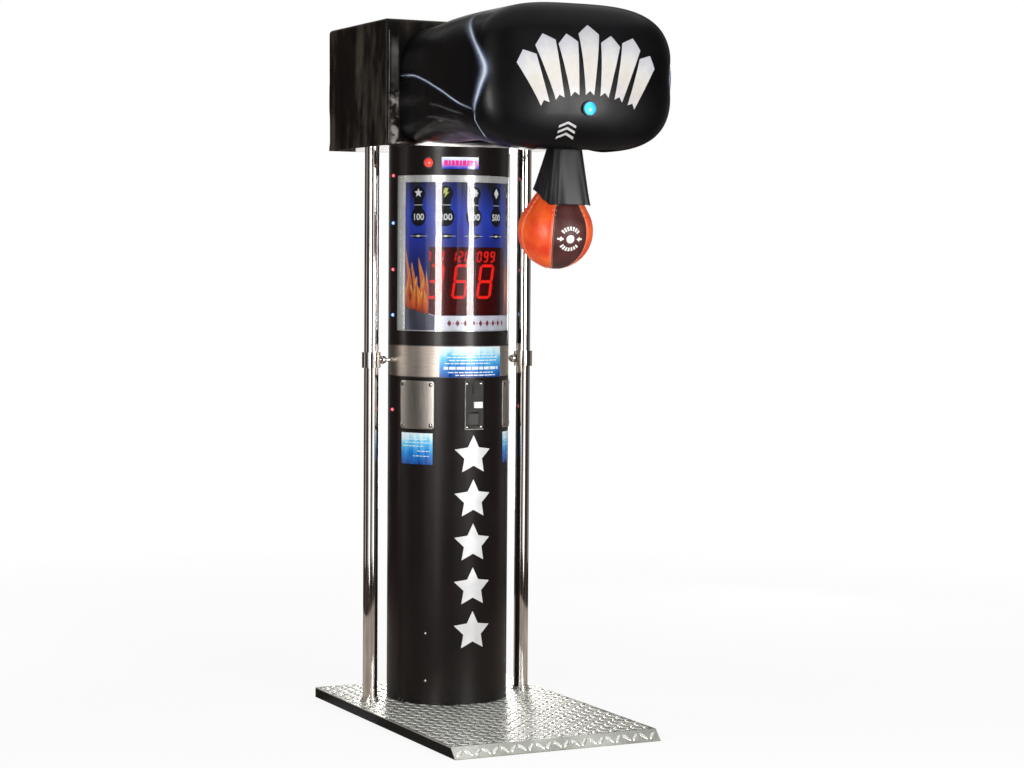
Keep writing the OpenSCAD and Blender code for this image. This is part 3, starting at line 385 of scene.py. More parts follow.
def cuffFinish():
    # dark brown with wavering upright smudges, like folds sprayed on
    material, tree = blank("cuffMoulding")
    folds = noise(tree, 9, (1.4, 1.4, 0.35))
    fine = noise(tree, 30, (1, 1, 0.5), 4.0)
    colour = wavering(tree, calc(tree, "MULTIPLY", fine, 0.35), folds,
                      [(0.5, (8, 6, 5)), (0.66, (20, 16, 14)), (0.86, (62, 56, 48))])
    return close(material, surface(tree, colour=colour, rough=spread(tree, fine, 0.36, 0.5), specular=0.16,
                                   normal=bump(tree, folds, 0.15, 0.01)))


def vinylFinish():
    # black vinyl: fine grain, upright creases pressed in, and a painted sheen that lightens the colour along the
    # creases
    material, tree = blank("sleeveVinyl")
    creasesAndSheen = noise(tree, 40, (1, 1, 0.12), 2.0)
    grain = noise(tree, 900)
    height = calc(tree, "ADD", calc(tree, "MULTIPLY", grain, 0.08), creasesAndSheen)
    # painted sheen: the colour goes lighter grey where the creases rise
    colour = ramp(tree, creasesAndSheen, [(0.35, (12, 12, 14)), (0.7, (29, 29, 32))])
    return close(material, surface(tree, colour=colour, rough=spread(tree, grain, 0.34, 0.46), specular=0.35,
                                   normal=bump(tree, height, 0.35, 0.002)))


# Each finish has its name, dark and light shade, least and most roughness, the scale of its patches, their stretch,
# and the strength and scale of its grain.
finishes = {
    "black_wood": finish("blackWood", (7, 7, 7), (15, 14, 13), (0.5, 0.62), 6, (1, 8, 30), 0.25, 120, specular=0.12),
    "tread_aluminium": finish("treadAluminium", (176, 178, 170), (216, 218, 210), (0.28, 0.42), 9, grain=0.3,
                              grainScale=700, metal=0.8),
    "zinc_steel": finish("zincSteel", (140, 142, 140), (178, 180, 176), (0.32, 0.5), 30, grain=0.1, metal=1.0),
    "black_paint": finish("blackPaint", (19, 15, 14), (27, 21, 20), (0.28, 0.36), 5, grain=0.03, grainScale=500,
                          specular=0.2, coat=0.06, coatRough=0.12),
    "blue_print": finish("bluePrint", (10, 30, 125), (26, 62, 178), (0.3, 0.4), 14),
    "circuit_board": finish("circuitBoard", (12, 60, 34), (30, 96, 56), (0.3, 0.5), 160),
    "black_plastic": finish("blackPlastic", (20, 20, 21), (32, 31, 31), (0.34, 0.46), 20, grain=0.2, grainScale=1500),
    "digit_red": finish("digitGround", (30, 5, 7), (48, 9, 11), (0.3, 0.4), 20),
    "chrome": finish("chrome", (222, 218, 215), (238, 235, 232), (0.035, 0.07), 12, metal=1.0),
    "screw_steel": finish("screwSteel", (196, 194, 190), (226, 224, 220), (0.12, 0.2), 60, metal=1.0),
    "silver_trim": finish("silverTrim", (182, 182, 180), (216, 216, 212), (0.26, 0.36), 15, (1, 1, 0.2), metal=0.4),
    "black_cast": finish("blackCast", (22, 21, 21), (36, 34, 33), (0.4, 0.52), 40, grain=0.6, grainScale=1100,
                         specular=0.35),
    "white_plastic": finish("whitePlastic", (226, 224, 220), (242, 241, 238), (0.22, 0.3), 30, coat=0.3),
    "dark_steel": finish("darkSteel", (58, 58, 60), (84, 84, 86), (0.34, 0.5), 40, grain=0.1, metal=0.9),
    "polished_plate": finish("polishedPlate", (206, 204, 200), (228, 226, 222), (0.05, 0.1), 14, metal=1.0),
    "bearing_iron": finish("bearingIron", (52, 66, 84), (70, 86, 104), (0.35, 0.5), 50, grain=0.3),
    "black_rubber": finish("blackRubber", (18, 18, 18), (28, 28, 28), (0.6, 0.75), 40, grain=0.3),
    "coil_brass": finish("coilBrass", (150, 112, 54), (186, 146, 80), (0.26, 0.4), 50, (1, 1, 8), metal=1.0),
    "red_lens": glow("redLens", (255, 120, 130), (200, 20, 40), 1.1),
    "blue_lens": glow("blueLens", (170, 215, 255), (60, 120, 230), 1.0),
    # the push button has no lamp: its glow and its paler middle are a painted glow and painted highlight
    "red_cap": glow("redCapPaintedGlow", (255, 70, 60), (190, 10, 16), 0.7),
    "blue_cap": glow("blueCap", (60, 200, 245), (10, 70, 190), 0.9),
    "sign_lens": upright("signLens", [(0.05, (40, 70, 190)), (0.4, (190, 140, 225)), (0.75, (205, 215, 255)),
                                      (0.98, (245, 250, 255))], (0.1, 0.18), 1.779, 1.817, 0.2, 0.4),
    # the printed label also gives off a faint light of its own: a painted glow
    "blue_label": upright("blueLabelFaintGlow", [(0.0, (6, 52, 128)), (0.45, (20, 120, 205)), (0.8, (90, 190, 238)),
                                        (1.0, (205, 238, 250))], (0.22, 0.3), 0.818, 0.924, 0.12, 0.3),
    "ball_leather": finish("ballLeather", (205, 52, 18), (236, 84, 34), (0.3, 0.42), 30, grain=0.5, grainScale=420),
    "brushed_band": brushedFinish("brushedBand", (158, 148, 140), (206, 198, 190), (0.42, 0.54), (1, 1, 60)),
    "brushed_plate": brushedFinish("brushedPlate", (150, 145, 139), (186, 180, 173), (0.32, 0.42), (40, 40, 1)),
    "clear_plastic": clearFinish(),
    "red_filter": filterFinish(),
    "silver_vinyl": finish("silverVinyl", (212, 212, 213), (240, 240, 241), (0.3, 0.42), 9, metal=0.2),
    "glove_moulding": gloveFinish(),
    "cuff_moulding": cuffFinish(),
    "sleeve_vinyl": vinylFinish(),
}

for slotName, material in finishes.items():
    for node in nodes.values():
        for holder in node.material_slots:
            if holder.material and holder.material.name.split(".")[0] == slotName:
                holder.material = material
print("finishes laid on", len(finishes), "materials")


# The glove moulding of the head. Lengths are in metres, Y runs back from the player, and the wrist is at the start.

glove = {"start": 0.150, "end": 0.873, "dome": 0.112, "domeFall": 2.2, "domeRise": 2.4,
         "halfWrist": 0.252, "halfFist": 0.329, "squareWrist": 8, "round": 3.2,
         "lowWrist": 1.8603, "lowFist": 1.8555, "lowDrop": 0.0475, "topWrist": 2.240, "topFist": 2.248,
         "frontMiddle": 2.028, "frontTall": 0.220, "rows": 92, "domeRows": 62, "around": 300,
         "wall": 0.004, "creaseDepth": 0.005, "creaseWidth": 0.013, "creaseFrom": 0.15, "paintLift": 0.0008,
         "recessLow": (-0.130, -0.904, 1.70), "recessHigh": (0.130, -0.334, 1.865),
         "buttonY": -0.985, "buttonHeight": 1.931, "buttonRadius": 0.0215, "buttonDeep": 0.08}
# Lines sprayed on both sides: (Y, Z) points and half width; the first two are also pressed in.
strokes = [
    ([(-0.700, 2.222), (-0.768, 2.182), (-0.832, 2.143), (-0.885, 2.103), (-0.910, 2.062), (-0.914, 2.030),
      (-0.905, 2.000), (-0.888, 1.962), (-0.862, 1.930), (-0.850, 1.914)], 0.021),
    ([(-0.152, 2.073), (-0.240, 2.068), (-0.316, 2.060), (-0.471, 2.031), (-0.624, 1.995), (-0.705, 1.968),
      (-0.771, 1.945), (-0.856, 1.924)], 0.0085),
    ([(-0.852, 1.918), (-0.846, 1.898), (-0.841, 1.876), (-0.828, 1.856), (-0.800, 1.842)], 0.0065)]
# Grey strokes of the airbrush under them.
smears = [
    ([(-0.50, 1.962), (-0.60, 1.950), (-0.70, 1.930), (-0.79, 1.914)], 0.012),
    ([(-0.44, 1.925), (-0.55, 1.918), (-0.66, 1.902), (-0.76, 1.888)], 0.010),
    ([(-0.42, 1.892), (-0.52, 1.880), (-0.62, 1.878)], 0.008)]


def gloveRing(t):
    # half width, middle height, half height and squareness of the lower half, from the wrist (0) to the knuckles (1)
    low = blendTo(glove["lowWrist"], glove["lowFist"], 8 * t) - glove["lowDrop"] * ease(1.9 * t - 0.85)
    top = blendTo(glove["topWrist"], glove["topFist"], 2 * t)
    half = blendTo(glove["halfWrist"], glove["halfFist"], 1.25 * t)
    return half, (low + top) / 2, (top - low) / 2, blendTo(glove["squareWrist"], glove["round"], 1.3 * t)


def gloveOutline(t, count):
    # superellipse |x/half|^p + |z/tall|^p = 1 with its own p below, walked in steps of equal length
    half, mid, tall, square = gloveRing(t)
    angle = np.linspace(0, 2 * np.pi, 3001)
    power = np.where(np.sin(angle) > 0, 2 / square, 2 / glove["round"])
    x = half * signPower(np.cos(angle), power)
    z = -tall * signPower(np.sin(angle), power)
    walked = np.concatenate([[0], np.cumsum(np.hypot(np.diff(x), np.diff(z)))])
    stops = np.linspace(0, walked[-1], count + 1)[:-1]
    return np.interp(stops, walked, x), mid, np.interp(stops, walked, z)


def creaseShare(y, z):
    # 1 on the two main sprayed lines, falling off as a bell with the distance from them
    nearest = np.full(y.shape, 9.0)
    for line, _ in strokes[:2]:
        for (y0, z0), (y1, z1) in zip(line[:-1], line[1:]):
            long, high = y1 - y0, z1 - z0
            along = np.clip(((y - y0) * long + (z - z0) * high) / (long ** 2 + high ** 2), 0, 1)
            nearest = np.minimum(nearest, np.hypot(y - y0 - along * long, z - z0 - along * high))
    return np.exp(-(nearest / glove["creaseWidth"]) ** 2)


def domeShrink(depth):
    # how far the outline has shrunk at a share of the dome's depth: (1 - depth^fall)^(1/rise)
    return np.maximum(1 - depth ** glove["domeFall"], 0) ** (1 / glove["domeRise"])


def sideX(y, z):
    # how far out the glove's side is at depth y and height z
    shrink = domeShrink(np.clip(-y - glove["end"], 0, glove["dome"] * 0.98) / glove["dome"])
    t = np.clip((-y - glove["start"]) / (glove["end"] - glove["start"]), 0, 1)
    half, mid, tall, square = gloveRing(t)
    power = np.where(z < mid, square, glove["round"])
    share = np.clip(np.abs(z - mid) / (tall * shrink), 0, 1)
    return half * shrink * (1 - share ** power) ** (1 / power) - glove["creaseDepth"] * creaseShare(y, z)


def frontY(x, z):
    # the fist's front: a dome whose depth falls with the superellipse share of the outline
    half, mid, tall = glove["halfFist"], glove["frontMiddle"], glove["frontTall"]
    share = ((np.abs(x) / half) ** glove["round"] + (np.abs(z - mid) / tall) ** glove["round"]) ** (1 / glove["round"])
    fall = (1 - np.clip(share, 0, 1) ** glove["domeRise"]) ** (1 / glove["domeFall"])
    return -(glove["end"] + glove["dome"] * fall)


def buildGlove():
    # outlines from wrist to knuckles, then outlines that shrink over the dome; the creases are pressed into the sides
    rows = []
    for t in np.linspace(0, 1, glove["rows"]):
        x, mid, z = gloveOutline(t, glove["around"])
        rows.append(together(x, -between(glove["start"], glove["end"], t), mid + z))
    x, mid, z = gloveOutline(1.0, glove["around"])
    for v in np.linspace(0, 1, glove["domeRows"])[1:]:
        depth = math.sin(v * math.pi / 2)
        shrink = domeShrink(depth)
        rows.append(together(x * shrink, -(glove["end"] + glove["dome"] * depth), mid + z * shrink))
    points = np.array(rows)
    x, y, z = points[..., 0], points[..., 1], points[..., 2]
    pressed = np.sign(x) * glove["creaseDepth"] * creaseShare(y, z)
    points[..., 0] -= np.where(np.abs(x) > glove["creaseFrom"], pressed, 0)
    gather = Gather()
    gather.grid(points, closed=True)
    skin = gather.piece("glove_skin", "machine", [finishes["glove_moulding"]], "closed", merge=True)
    thicken(skin, glove["wall"])
    work = bmesh.new()
    addBlock(work, glove["recessLow"], glove["recessHigh"])
    turn = Matrix.Translation((0, glove["buttonY"], glove["buttonHeight"])) @ Matrix.Rotation(math.radians(90), 4, "X")
    bmesh.ops.create_cone(work, cap_ends=True, segments=48, radius1=glove["buttonRadius"],
                          radius2=glove["buttonRadius"], depth=glove["buttonDeep"], matrix=turn)
    cut(skin, work, 35)
    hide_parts("glove_shell", "glove_tray")


def smoothLine(points, count):
    # Catmull-Rom curve through the given points
    given = np.array([points[0]] + list(points) + [points[-1]], dtype=float)
    place = np.linspace(0, len(points) - 1 - 1e-6, count)
    i, f = place.astype(int), (place % 1)[:, None]
    a, b, c, d = given[i], given[i + 1], given[i + 2], given[i + 3]
    return 0.5 * (2 * b + (c - a) * f + (2 * a - 5 * b + 4 * c - d) * f ** 2 + (3 * b - a - 3 * c + d) * f ** 3)


def sprayFinish(name, core, middle, rim, most):
    # a soft sprayed line: the UV runs along it (x) and across it (y), and it fades on both sides and at both ends
    material, tree = blank(name)
    off = calc(tree, "ABSOLUTE", calc(tree, "SUBTRACT", uvAxis(tree, "Y"), 0.5))
    across = calc(tree, "MULTIPLY", off, 2.0)
    side = ramp(tree, across, [(0.0, 1), (0.22, 0.62), (0.55, 0.16), (1.0, 0)])
    ends = ramp(tree, uvAxis(tree, "X"), [(0.0, 0), (0.18, 1), (0.8, 1), (1.0, 0)])
    speck = spread(tree, noise(tree, 300), 0.85 * most, most)
    alpha = calc(tree, "MULTIPLY", calc(tree, "MULTIPLY", side, ends), speck)
    colour = ramp(tree, across, [(0.0, core), (0.35, middle), (0.9, rim)])
    return seeThrough(material, alpha, surface(tree, colour=colour, rough=0.45))


def buildSprayLines():
    # a ribbon of its half width on both sides of each smooth line, laid on the left and the right of the glove
    strong = sprayFinish("sprayBlue", (214, 222, 234), (140, 156, 188), (50, 66, 112), 0.95)
    weak = sprayFinish("sprayFaint", (150, 152, 158), (96, 96, 100), (60, 60, 64), 0.22)
    gather = Gather()
    u, v = unitGrid(70, 15)
    for slot, lines in enumerate((strokes, smears)):
        for line, width in lines:
            middle = smoothLine(line, 70)
            ahead = np.gradient(middle, axis=0)
            ahead /= np.linalg.norm(ahead, axis=1)[:, None]
            across = together(-ahead[:, 1], ahead[:, 0])
            flat = middle[:, None, :] + (2 * v - 1)[..., None] * width * across[:, None, :]
            y, z = flat[..., 0], flat[..., 1]
            for side in (-1, 1):
                gather.grid(together(side * (sideX(y, z) + glove["paintLift"]), y, z), together(u, v), slot)
    gather.piece("spray_lines", "machine", [strong, weak], fromMiddlePlane)


def buildFistEmblem():
    # a crown of bold wedge bars over an arch, and three chevrons, laid on the front of the fist
    crown = {"x": 0.0, "z": 1.620, "from": 66.0, "to": 114.0, "inner": 0.350, "innerTip": 0.012,
             "outerTip": 0.026, "share": 0.41,
             "outer": (0.520, 0.545, 0.532, 0.556, 0.532, 0.545, 0.520)}
    chevron = {"x": -0.062, "z": 1.848, "half": 0.028, "rise": 0.012, "thick": 0.007, "pitch": 0.016}
    material, tree = blank("fistPrint")
    cloud = spread(tree, noise(tree, 60), -0.08, 0.08)
    colour = wavering(tree, uvAxis(tree, "X"), cloud, [(0.05, (176, 172, 172)), (0.4, (192, 187, 178)),
                                                       (0.7, (198, 196, 194)), (0.95, (182, 182, 188))])
    close(material, surface(tree, colour=colour, rough=spread(tree, cloud, 0.3, 0.42, -0.08, 0.08)))
    gather = Gather()
    u, v = unitGrid(30, 13)
    tip = np.abs(2 * v - 1)
    step = (crown["to"] - crown["from"]) / (len(crown["outer"]) - 1)
    for bar, reach in enumerate(crown["outer"]):
        angle = np.radians(crown["from"] + step * (bar + (2 * v - 1) * crown["share"] * (0.7 + 0.42 * u)))
        distance = between(crown["inner"] + crown["innerTip"] * (1 - tip), reach - crown["outerTip"] * tip, u)
        x, z = crown["x"] + distance * np.cos(angle), crown["z"] + distance * np.sin(angle)
        gather.grid(together(x, frontY(x, z) - glove["paintLift"], z), together(u, v))
    along, thick = unitGrid(10, 4)
    for k in range(3):
        for side in (-1, 1):
            x = chevron["x"] + side * chevron["half"] * along
            z = chevron["z"] + chevron["pitch"] * k + chevron["rise"] * (1 - along) - chevron["thick"] * thick
            gather.grid(together(x, frontY(x, z) - glove["paintLift"], z))
    gather.piece("fist_emblem", "machine", [material], toPlayer)


# The cuff.

cuff = {"half": 0.304, "front": -0.164, "back": 0.322, "low": 1.850, "high": 2.2538, "corner": 0.014,
        "wall": 0.004, "fold": 0.0026, "panelLow": (-0.224, 0.300, 1.920), "panelHigh": (0.224, 0.340, 2.174),
        "wristFront": -0.20, "wristBack": -0.12, "wristPoints": 120, "wristShare": 0.998,
        "cloudLow": 1.856, "cloudTall": 0.36, "cloudLift": 0.0006, "cloudFrom": 0.288, "cloudWide": 0.034,
        "edgeHighlightFrom": 0.2900, "edgeHighlightWide": 0.0016}


def roundedLoop(half, front, back, corner, perSide, perCorner):
    # a rectangle with round corners: points and their outward directions
    x, y = half - corner, (front + corner, back - corner)
    middles = np.array([(x, y[0]), (x, y[1]), (-x, y[1]), (-x, y[0])])
    share = np.linspace(0, 1, perSide + 2)[1:-1, None]
    points, outs = [], []
    for k in range(4):
        spin = np.radians(-90 + 90 * k + np.linspace(0, 90, perCorner))
        out = together(np.cos(spin), np.sin(spin))
        arc = middles[k] + corner * out
        following = middles[(k + 1) % 4] + corner * out[-1]
        points += [arc, between(arc[-1], following, share)]
        outs += [out, np.repeat(out[-1:], perSide, axis=0)]
    return np.concatenate(points), np.concatenate(outs)


def buildCuff():
    # a vertical profile (wall, round shoulder, roof) carried round the loop, with shallow wavering folds pressed in
    flat, out = roundedLoop(cuff["half"], cuff["front"], cuff["back"], cuff["corner"], 60, 9)
    walked = np.concatenate([[0], np.cumsum(np.linalg.norm(np.diff(flat, axis=0), axis=1))])
    shoulder = cuff["high"] - cuff["corner"]

    def level(points, z):
        return together(points[:, 0], points[:, 1], z)

    rows = []
    for z in np.linspace(cuff["low"], shoulder, 56):
        wave = np.sin(walked * 78 + 1.6 * np.sin(z * 21) + 0.8 * np.sin(z * 47 + walked * 9))
        fade = ease((z - cuff["low"]) / 0.03) * ease((shoulder + 0.01 - z) / 0.05)
        fade = fade * (0.55 + 0.45 * np.sin(walked * 11 + z * 8))
        inward = cuff["fold"] * (0.5 - 0.5 * wave) ** 2 * fade
        rows.append(level(flat - out * inward[:, None], z))
    for spin in np.radians(np.linspace(0, 90, 9)[1:]):
        inset = cuff["corner"] * (1 - math.cos(spin))
        rows.append(level(flat - out * inset, shoulder + cuff["corner"] * math.sin(spin)))
    centre = np.array([0.0, (cuff["front"] + cuff["back"]) / 2])
    for share in np.linspace(1, 0, 12)[1:]:
        rows.append(level(between(centre, flat - out * cuff["corner"], share), cuff["high"]))
    gather = Gather()
    gather.grid(np.array(rows), closed=True)
    skin = gather.piece("cuff_skin", "machine", [finishes["cuff_moulding"]], "closed", merge=True)
    thicken(skin, cuff["wall"])
    # openings: the panel at the back, and the wrist's outline at the front
    work = bmesh.new()
    addBlock(work, cuff["panelLow"], cuff["panelHigh"])
    count, share = cuff["wristPoints"], cuff["wristShare"]
    x, mid, z = gloveOutline(0.0, count)
    ends = []
    for y in (cuff["wristFront"], cuff["wristBack"]):
        ends.append([work.verts.new((share * a, y, mid + share * b)) for a, b in zip(x, z)])
        work.faces.new(ends[-1])
    for k in range(count):
        after = (k + 1) % count
        work.faces.new([ends[0][k], ends[0][after], ends[1][after], ends[1][k]])
    cut(skin, work, 40)
    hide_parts("cuff_shell")


def buildCuffClouds():
    # pale airbrushed clouds on the cuff's front, beside the wrist: the UV's y runs up, and a ramp over it
    # says how strong they are
    material, tree = blank("sprayCloud")
    rise = spread(tree, noise(tree, 28), -0.09, 0.09)
    upward = wavering(tree, uvAxis(tree, "Y"), rise,
                      [(0.0, 0), (0.05, 0.75), (0.15, 0.75), (0.21, 0), (0.27, 0), (0.34, 0.95), (0.41, 0.75),
                       (0.46, 0), (0.6, 0.12), (0.8, 0.3), (1.0, 0)])
    sides = ramp(tree, uvAxis(tree, "X"), [(0.0, 0), (0.35, 1), (0.8, 0.8), (1.0, 0)])
    colour = ramp(tree, noise(tree, 40), [(0.3, (170, 164, 158)), (0.7, (214, 210, 206))])
    seeThrough(material, calc(tree, "MULTIPLY", upward, sides), surface(tree, colour=colour, rough=0.4))
    # the finish of the painted highlight along the cuff's front edge
    line = finish("edgeHighlightPaint", (120, 114, 108), (176, 170, 164), (0.4, 0.5), 30)
    gather = Gather()
    u, v = unitGrid(24, 7)
    y, z = cuff["front"] - cuff["cloudLift"], cuff["cloudLow"] + cuff["cloudTall"] * u
    for side in (-1, 1):
        gather.grid(together(side * (cuff["cloudFrom"] - cuff["cloudWide"] * v), y, z), together(v, u))
        # a painted highlight: a light line down the cuff's front edge
        gather.grid(together(side * (cuff["edgeHighlightFrom"] - cuff["edgeHighlightWide"] * v), y, z), together(v, u), 1)
    gather.piece("cuff_clouds", "machine", [material, line], toPlayer)


buildGlove()
buildSprayLines()
buildFistEmblem()
buildCuff()
buildCuffClouds()
print("head built")


# Ball and sleeve on the swinging arm.

arm = {"axle": (0.0, -0.830, 1.960), "lean": 9.0, "length": 0.391}
ballShape = {"radius": 0.114, "neckRadius": 0.042, "neckHigh": 0.150, "split": 0.82, "tip": math.atan2(0.050, 0.1024),
             "puff": 0.0016, "groove": 0.0026, "grooveWidth": 0.0036, "seams": (-32, 32, 90, 148, 212, 270, 328),
             "pleat": 0.0011, "pleats": 23, "pleatFrom": 0.74}


def onArm(points):
    # from the arm's own frame, its axis turned by the lean about X, to the machine's frame
    cosine, sine = math.cos(math.radians(arm["lean"])), math.sin(math.radians(arm["lean"]))
    x, y, z = points[..., 0], points[..., 1], points[..., 2]
    return together(x, y * cosine - z * sine, y * sine + z * cosine) + np.array(arm["axle"])


def ballProfile(v):
    # radius and height over the ball's middle, v from 0 at the bottom to 1 at the neck:
    # a sphere up to the tip angle over its middle, then a straight line to the neck
    split = ballShape["split"]
    angle = -math.pi / 2 + (math.pi / 2 + ballShape["tip"]) * np.clip(v / split, 0, 1)
    rest = np.clip((v - split) / (1 - split), 0, 1)
    radius, high = ballShape["radius"] * np.cos(angle), ballShape["radius"] * np.sin(angle)
    return between(radius, ballShape["neckRadius"], rest), between(high, ballShape["neckHigh"], rest)


def ballPoint(azimuth, v, lift=0.0):
    # the profile turned round its axis; panels puff between the seams and dip at them; faint pleats towards the neck
    radius, high = ballProfile(v)
    seams = np.array(ballShape["seams"], dtype=float)
    turn = (azimuth - seams[0]) % 360 + seams[0]
    index = np.clip(np.searchsorted(seams, turn, side="right") - 1, 0, 5)
    share = (turn - seams[index]) / (seams[index + 1] - seams[index])
    gap = np.radians(np.minimum(turn - seams[index], seams[index + 1] - turn)) * np.maximum(radius, 0.01)
    pleat = ballShape["pleat"] * np.sin(np.radians(turn) * ballShape["pleats"])
    pleat = pleat * ease((v - ballShape["pleatFrom"]) / 0.2)
    puff = ballShape["puff"] * (4 * share * (1 - share)) - ballShape["puff"]
    swell = puff - ballShape["groove"] * np.exp(-(gap / ballShape["grooveWidth"]) ** 2)
    grown = radius + (swell + pleat) * ease(radius / 0.05) + lift
    spin = np.radians(azimuth)
    raised = high + lift * high / ballShape["radius"] - arm["length"]
    return onArm(together(grown * np.sin(spin), -grown * np.cos(spin), raised))


def leather(name, dark, light, grain):
    # leather: patches of two shades, with small cells and folds pressed in
    material, tree = blank(name)
    coords = add(tree, "ShaderNodeTexCoord").outputs["Object"]
    cells = add(tree, "ShaderNodeTexVoronoi", {"Vector": coords, "Scale": 420}).outputs["Distance"]
    fold = noise(tree, 60, detail=4.0)
    height = calc(tree, "ADD", cells, calc(tree, "MULTIPLY", fold, 2.0))
    colour = ramp(tree, noise(tree, 16, detail=4.0), [(0.3, dark), (0.7, light)])
    return close(material, surface(tree, colour=colour, rough=spread(tree, fold, 0.3, 0.44), specular=0.35,
                                   coat=0.1, coatRough=0.25, normal=bump(tree, height, grain, 0.0012)))


def buildBall():
    # six panels, each a grid from seam to seam and from the bottom to the neck, and a lid on the neck
    orange = leather("orangeLeather", (206, 46, 12), (240, 100, 30), 0.3)
    brown = leather("brownLeather", (52, 22, 22), (80, 36, 34), 0.55)
    gather = Gather()
    split, seams = ballShape["split"], ballShape["seams"]
    v = np.concatenate([np.linspace(0, split, 74), np.linspace(split, 1.0, 22)[1:]])[:, None]
    share = 0.5 - 0.5 * np.cos(np.linspace(0, np.pi, 25))
    for k in range(6):
        azimuth = between(seams[k], seams[k + 1], share)[None, :]
        gather.grid(ballPoint(azimuth + 0 * v, v + 0 * azimuth), slot=1 if k in (0, 3) else 0)
    rim = ballPoint(np.linspace(seams[0], seams[-1], 145)[:-1], np.full(144, 1.0))
    top = onArm(np.array([0, 0, ballShape["neckHigh"] - arm["length"]]))
    gather.grid(np.stack([rim, between(rim, top, 0.999)]), closed=True)
    ball = gather.piece("ball_cover", "arm", [orange, brown], "closed", merge=True)
    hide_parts("ball")


def tube(gather, path, radius, sides, slot):
    # a round tube along a path of points; the first and last two rings draw in to close it
    ahead = np.gradient(path, axis=0)
    ahead /= np.linalg.norm(ahead, axis=1)[:, None]
    side = np.cross(ahead, np.array([0.31, 0.17, 0.93]))
    side /= np.linalg.norm(side, axis=1)[:, None]
    up = np.cross(side, ahead)
    spin = spinRing(sides)[None, :, None]
    size = np.full(len(path), radius)
    size[[0, -1]], size[[1, -2]] = radius * 0.02, radius * 0.8
    ring = side[:, None, :] * np.cos(spin) + up[:, None, :] * np.sin(spin)
    gather.grid(path[:, None, :] + ring * size[:, None, None], slot=slot, closed=True)


def buildSeams():
    # a round welt in each seam and short stitches along both of its sides
    seam = {"welt": 0.0013, "thread": 0.00062, "off": 0.0048,
            "start": 0.12, "end": 0.97, "pitch": 0.0245, "long": 0.0125}
    welt = finish("seamWelt", (226, 120, 84), (240, 150, 116), (0.35, 0.5), 60)
    thread = finish("seamThread", (232, 176, 150), (246, 206, 184), (0.5, 0.7), 200)
    gather = Gather()
    for azimuth in ballShape["seams"][:6]:
        tube(gather, ballPoint(np.full(60, float(azimuth)), np.linspace(0.06, 0.985, 60), 0.0002), seam["welt"], 8, 0)
        for side in (-1, 1):
            for step in np.arange(seam["start"], seam["end"], seam["pitch"]):
                span = np.linspace(step, step + seam["long"], 5)
                turned = azimuth + side * np.degrees(seam["off"] / np.maximum(ballProfile(span)[0], 0.02))
                tube(gather, ballPoint(turned, span, 0.0001), seam["thread"], 5, 1)
    gather.piece("ball_seams", "arm", [welt, thread], "closed")


def buildBallMark():
    # white dot, dashes in two arcs over and under it, two arrows that point at it
    dot = {"x": -0.006, "z": -0.008, "radius": 0.0125, "dashFrom": 0.026, "dashLong": 0.012, "dashTurn": 16,
           "arrowFrom": 0.020, "arrowLong": 0.012, "arrowWide": 0.016, "tailFrom": 0.031, "tailLong": 0.010,
           "tailWide": 0.0055, "lift": 0.0005}
    chalk = finish("ballPrint", (228, 220, 214), (244, 240, 236), (0.5, 0.65), 90)
    gather = Gather()

    def mark(x, z):
        # a flat patch round the dot, x to the right and z up in metres, carried onto the ball's front panel
        radius = ballShape["radius"]
        rise = (dot["z"] + z) / radius
        v = ballShape["split"] * (rise + math.pi / 2) / (math.pi / 2 + ballShape["tip"])
        gather.grid(ballPoint(np.degrees((dot["x"] + x) / (radius * np.maximum(np.cos(rise), 0.2))), v, dot["lift"]))

    r, a = unitGrid(5, 29)
    mark(dot["radius"] * r * np.cos(a * 2 * np.pi), dot["radius"] * r * np.sin(a * 2 * np.pi))
    r, a = unitGrid(4, 4)
    for half in (90, 270):
        for k in range(-3, 4):
            distance = dot["dashFrom"] + dot["dashLong"] * r
            turn = math.radians(half + k * dot["dashTurn"]) + (a - 0.5) * 0.17
            mark(distance * np.cos(turn), distance * np.sin(turn))
    for side in (-1, 1):
        along, across = unitGrid(5, 3)
        mark(side * (dot["arrowFrom"] + dot["arrowLong"] * along), (across - 0.5) * dot["arrowWide"] * along)
        along, across = unitGrid(4, 3)
        mark(side * (dot["tailFrom"] + dot["tailLong"] * along), (across - 0.5) * dot["tailWide"])
    middle = Vector(onArm(np.array([0.0, 0.0, -arm["length"]])))
    gather.piece("ball_mark", "arm", [chalk], lambda centre: centre - middle)


sleeve = {"top": 1.828, "low": 1.651, "frontTop": 0.860, "frontHem": 0.876, "backTop": 0.790, "backHem": 0.709,
          "halfTop": 0.048, "halfHem": 0.080, "square": 4.0, "slant": 22.0, "wall": 0.0022, "wave": 0.0035,
          "flare": 0.003, "sag": 0.006, "neckMiddle": (0.0, -0.8092, 1.8335), "neckRadius": 0.0168,
          "pleat": 0.0012, "pleats": 18}


def sleeveDepths(t):
    # the middle and half of the way from the back to the front, from the top (0) to the front hem (1)
    front = between(sleeve["frontTop"], sleeve["frontHem"], t)
    back = between(sleeve["backTop"], sleeve["backHem"], t)
    return (front + back) / 2, (front - back) / 2


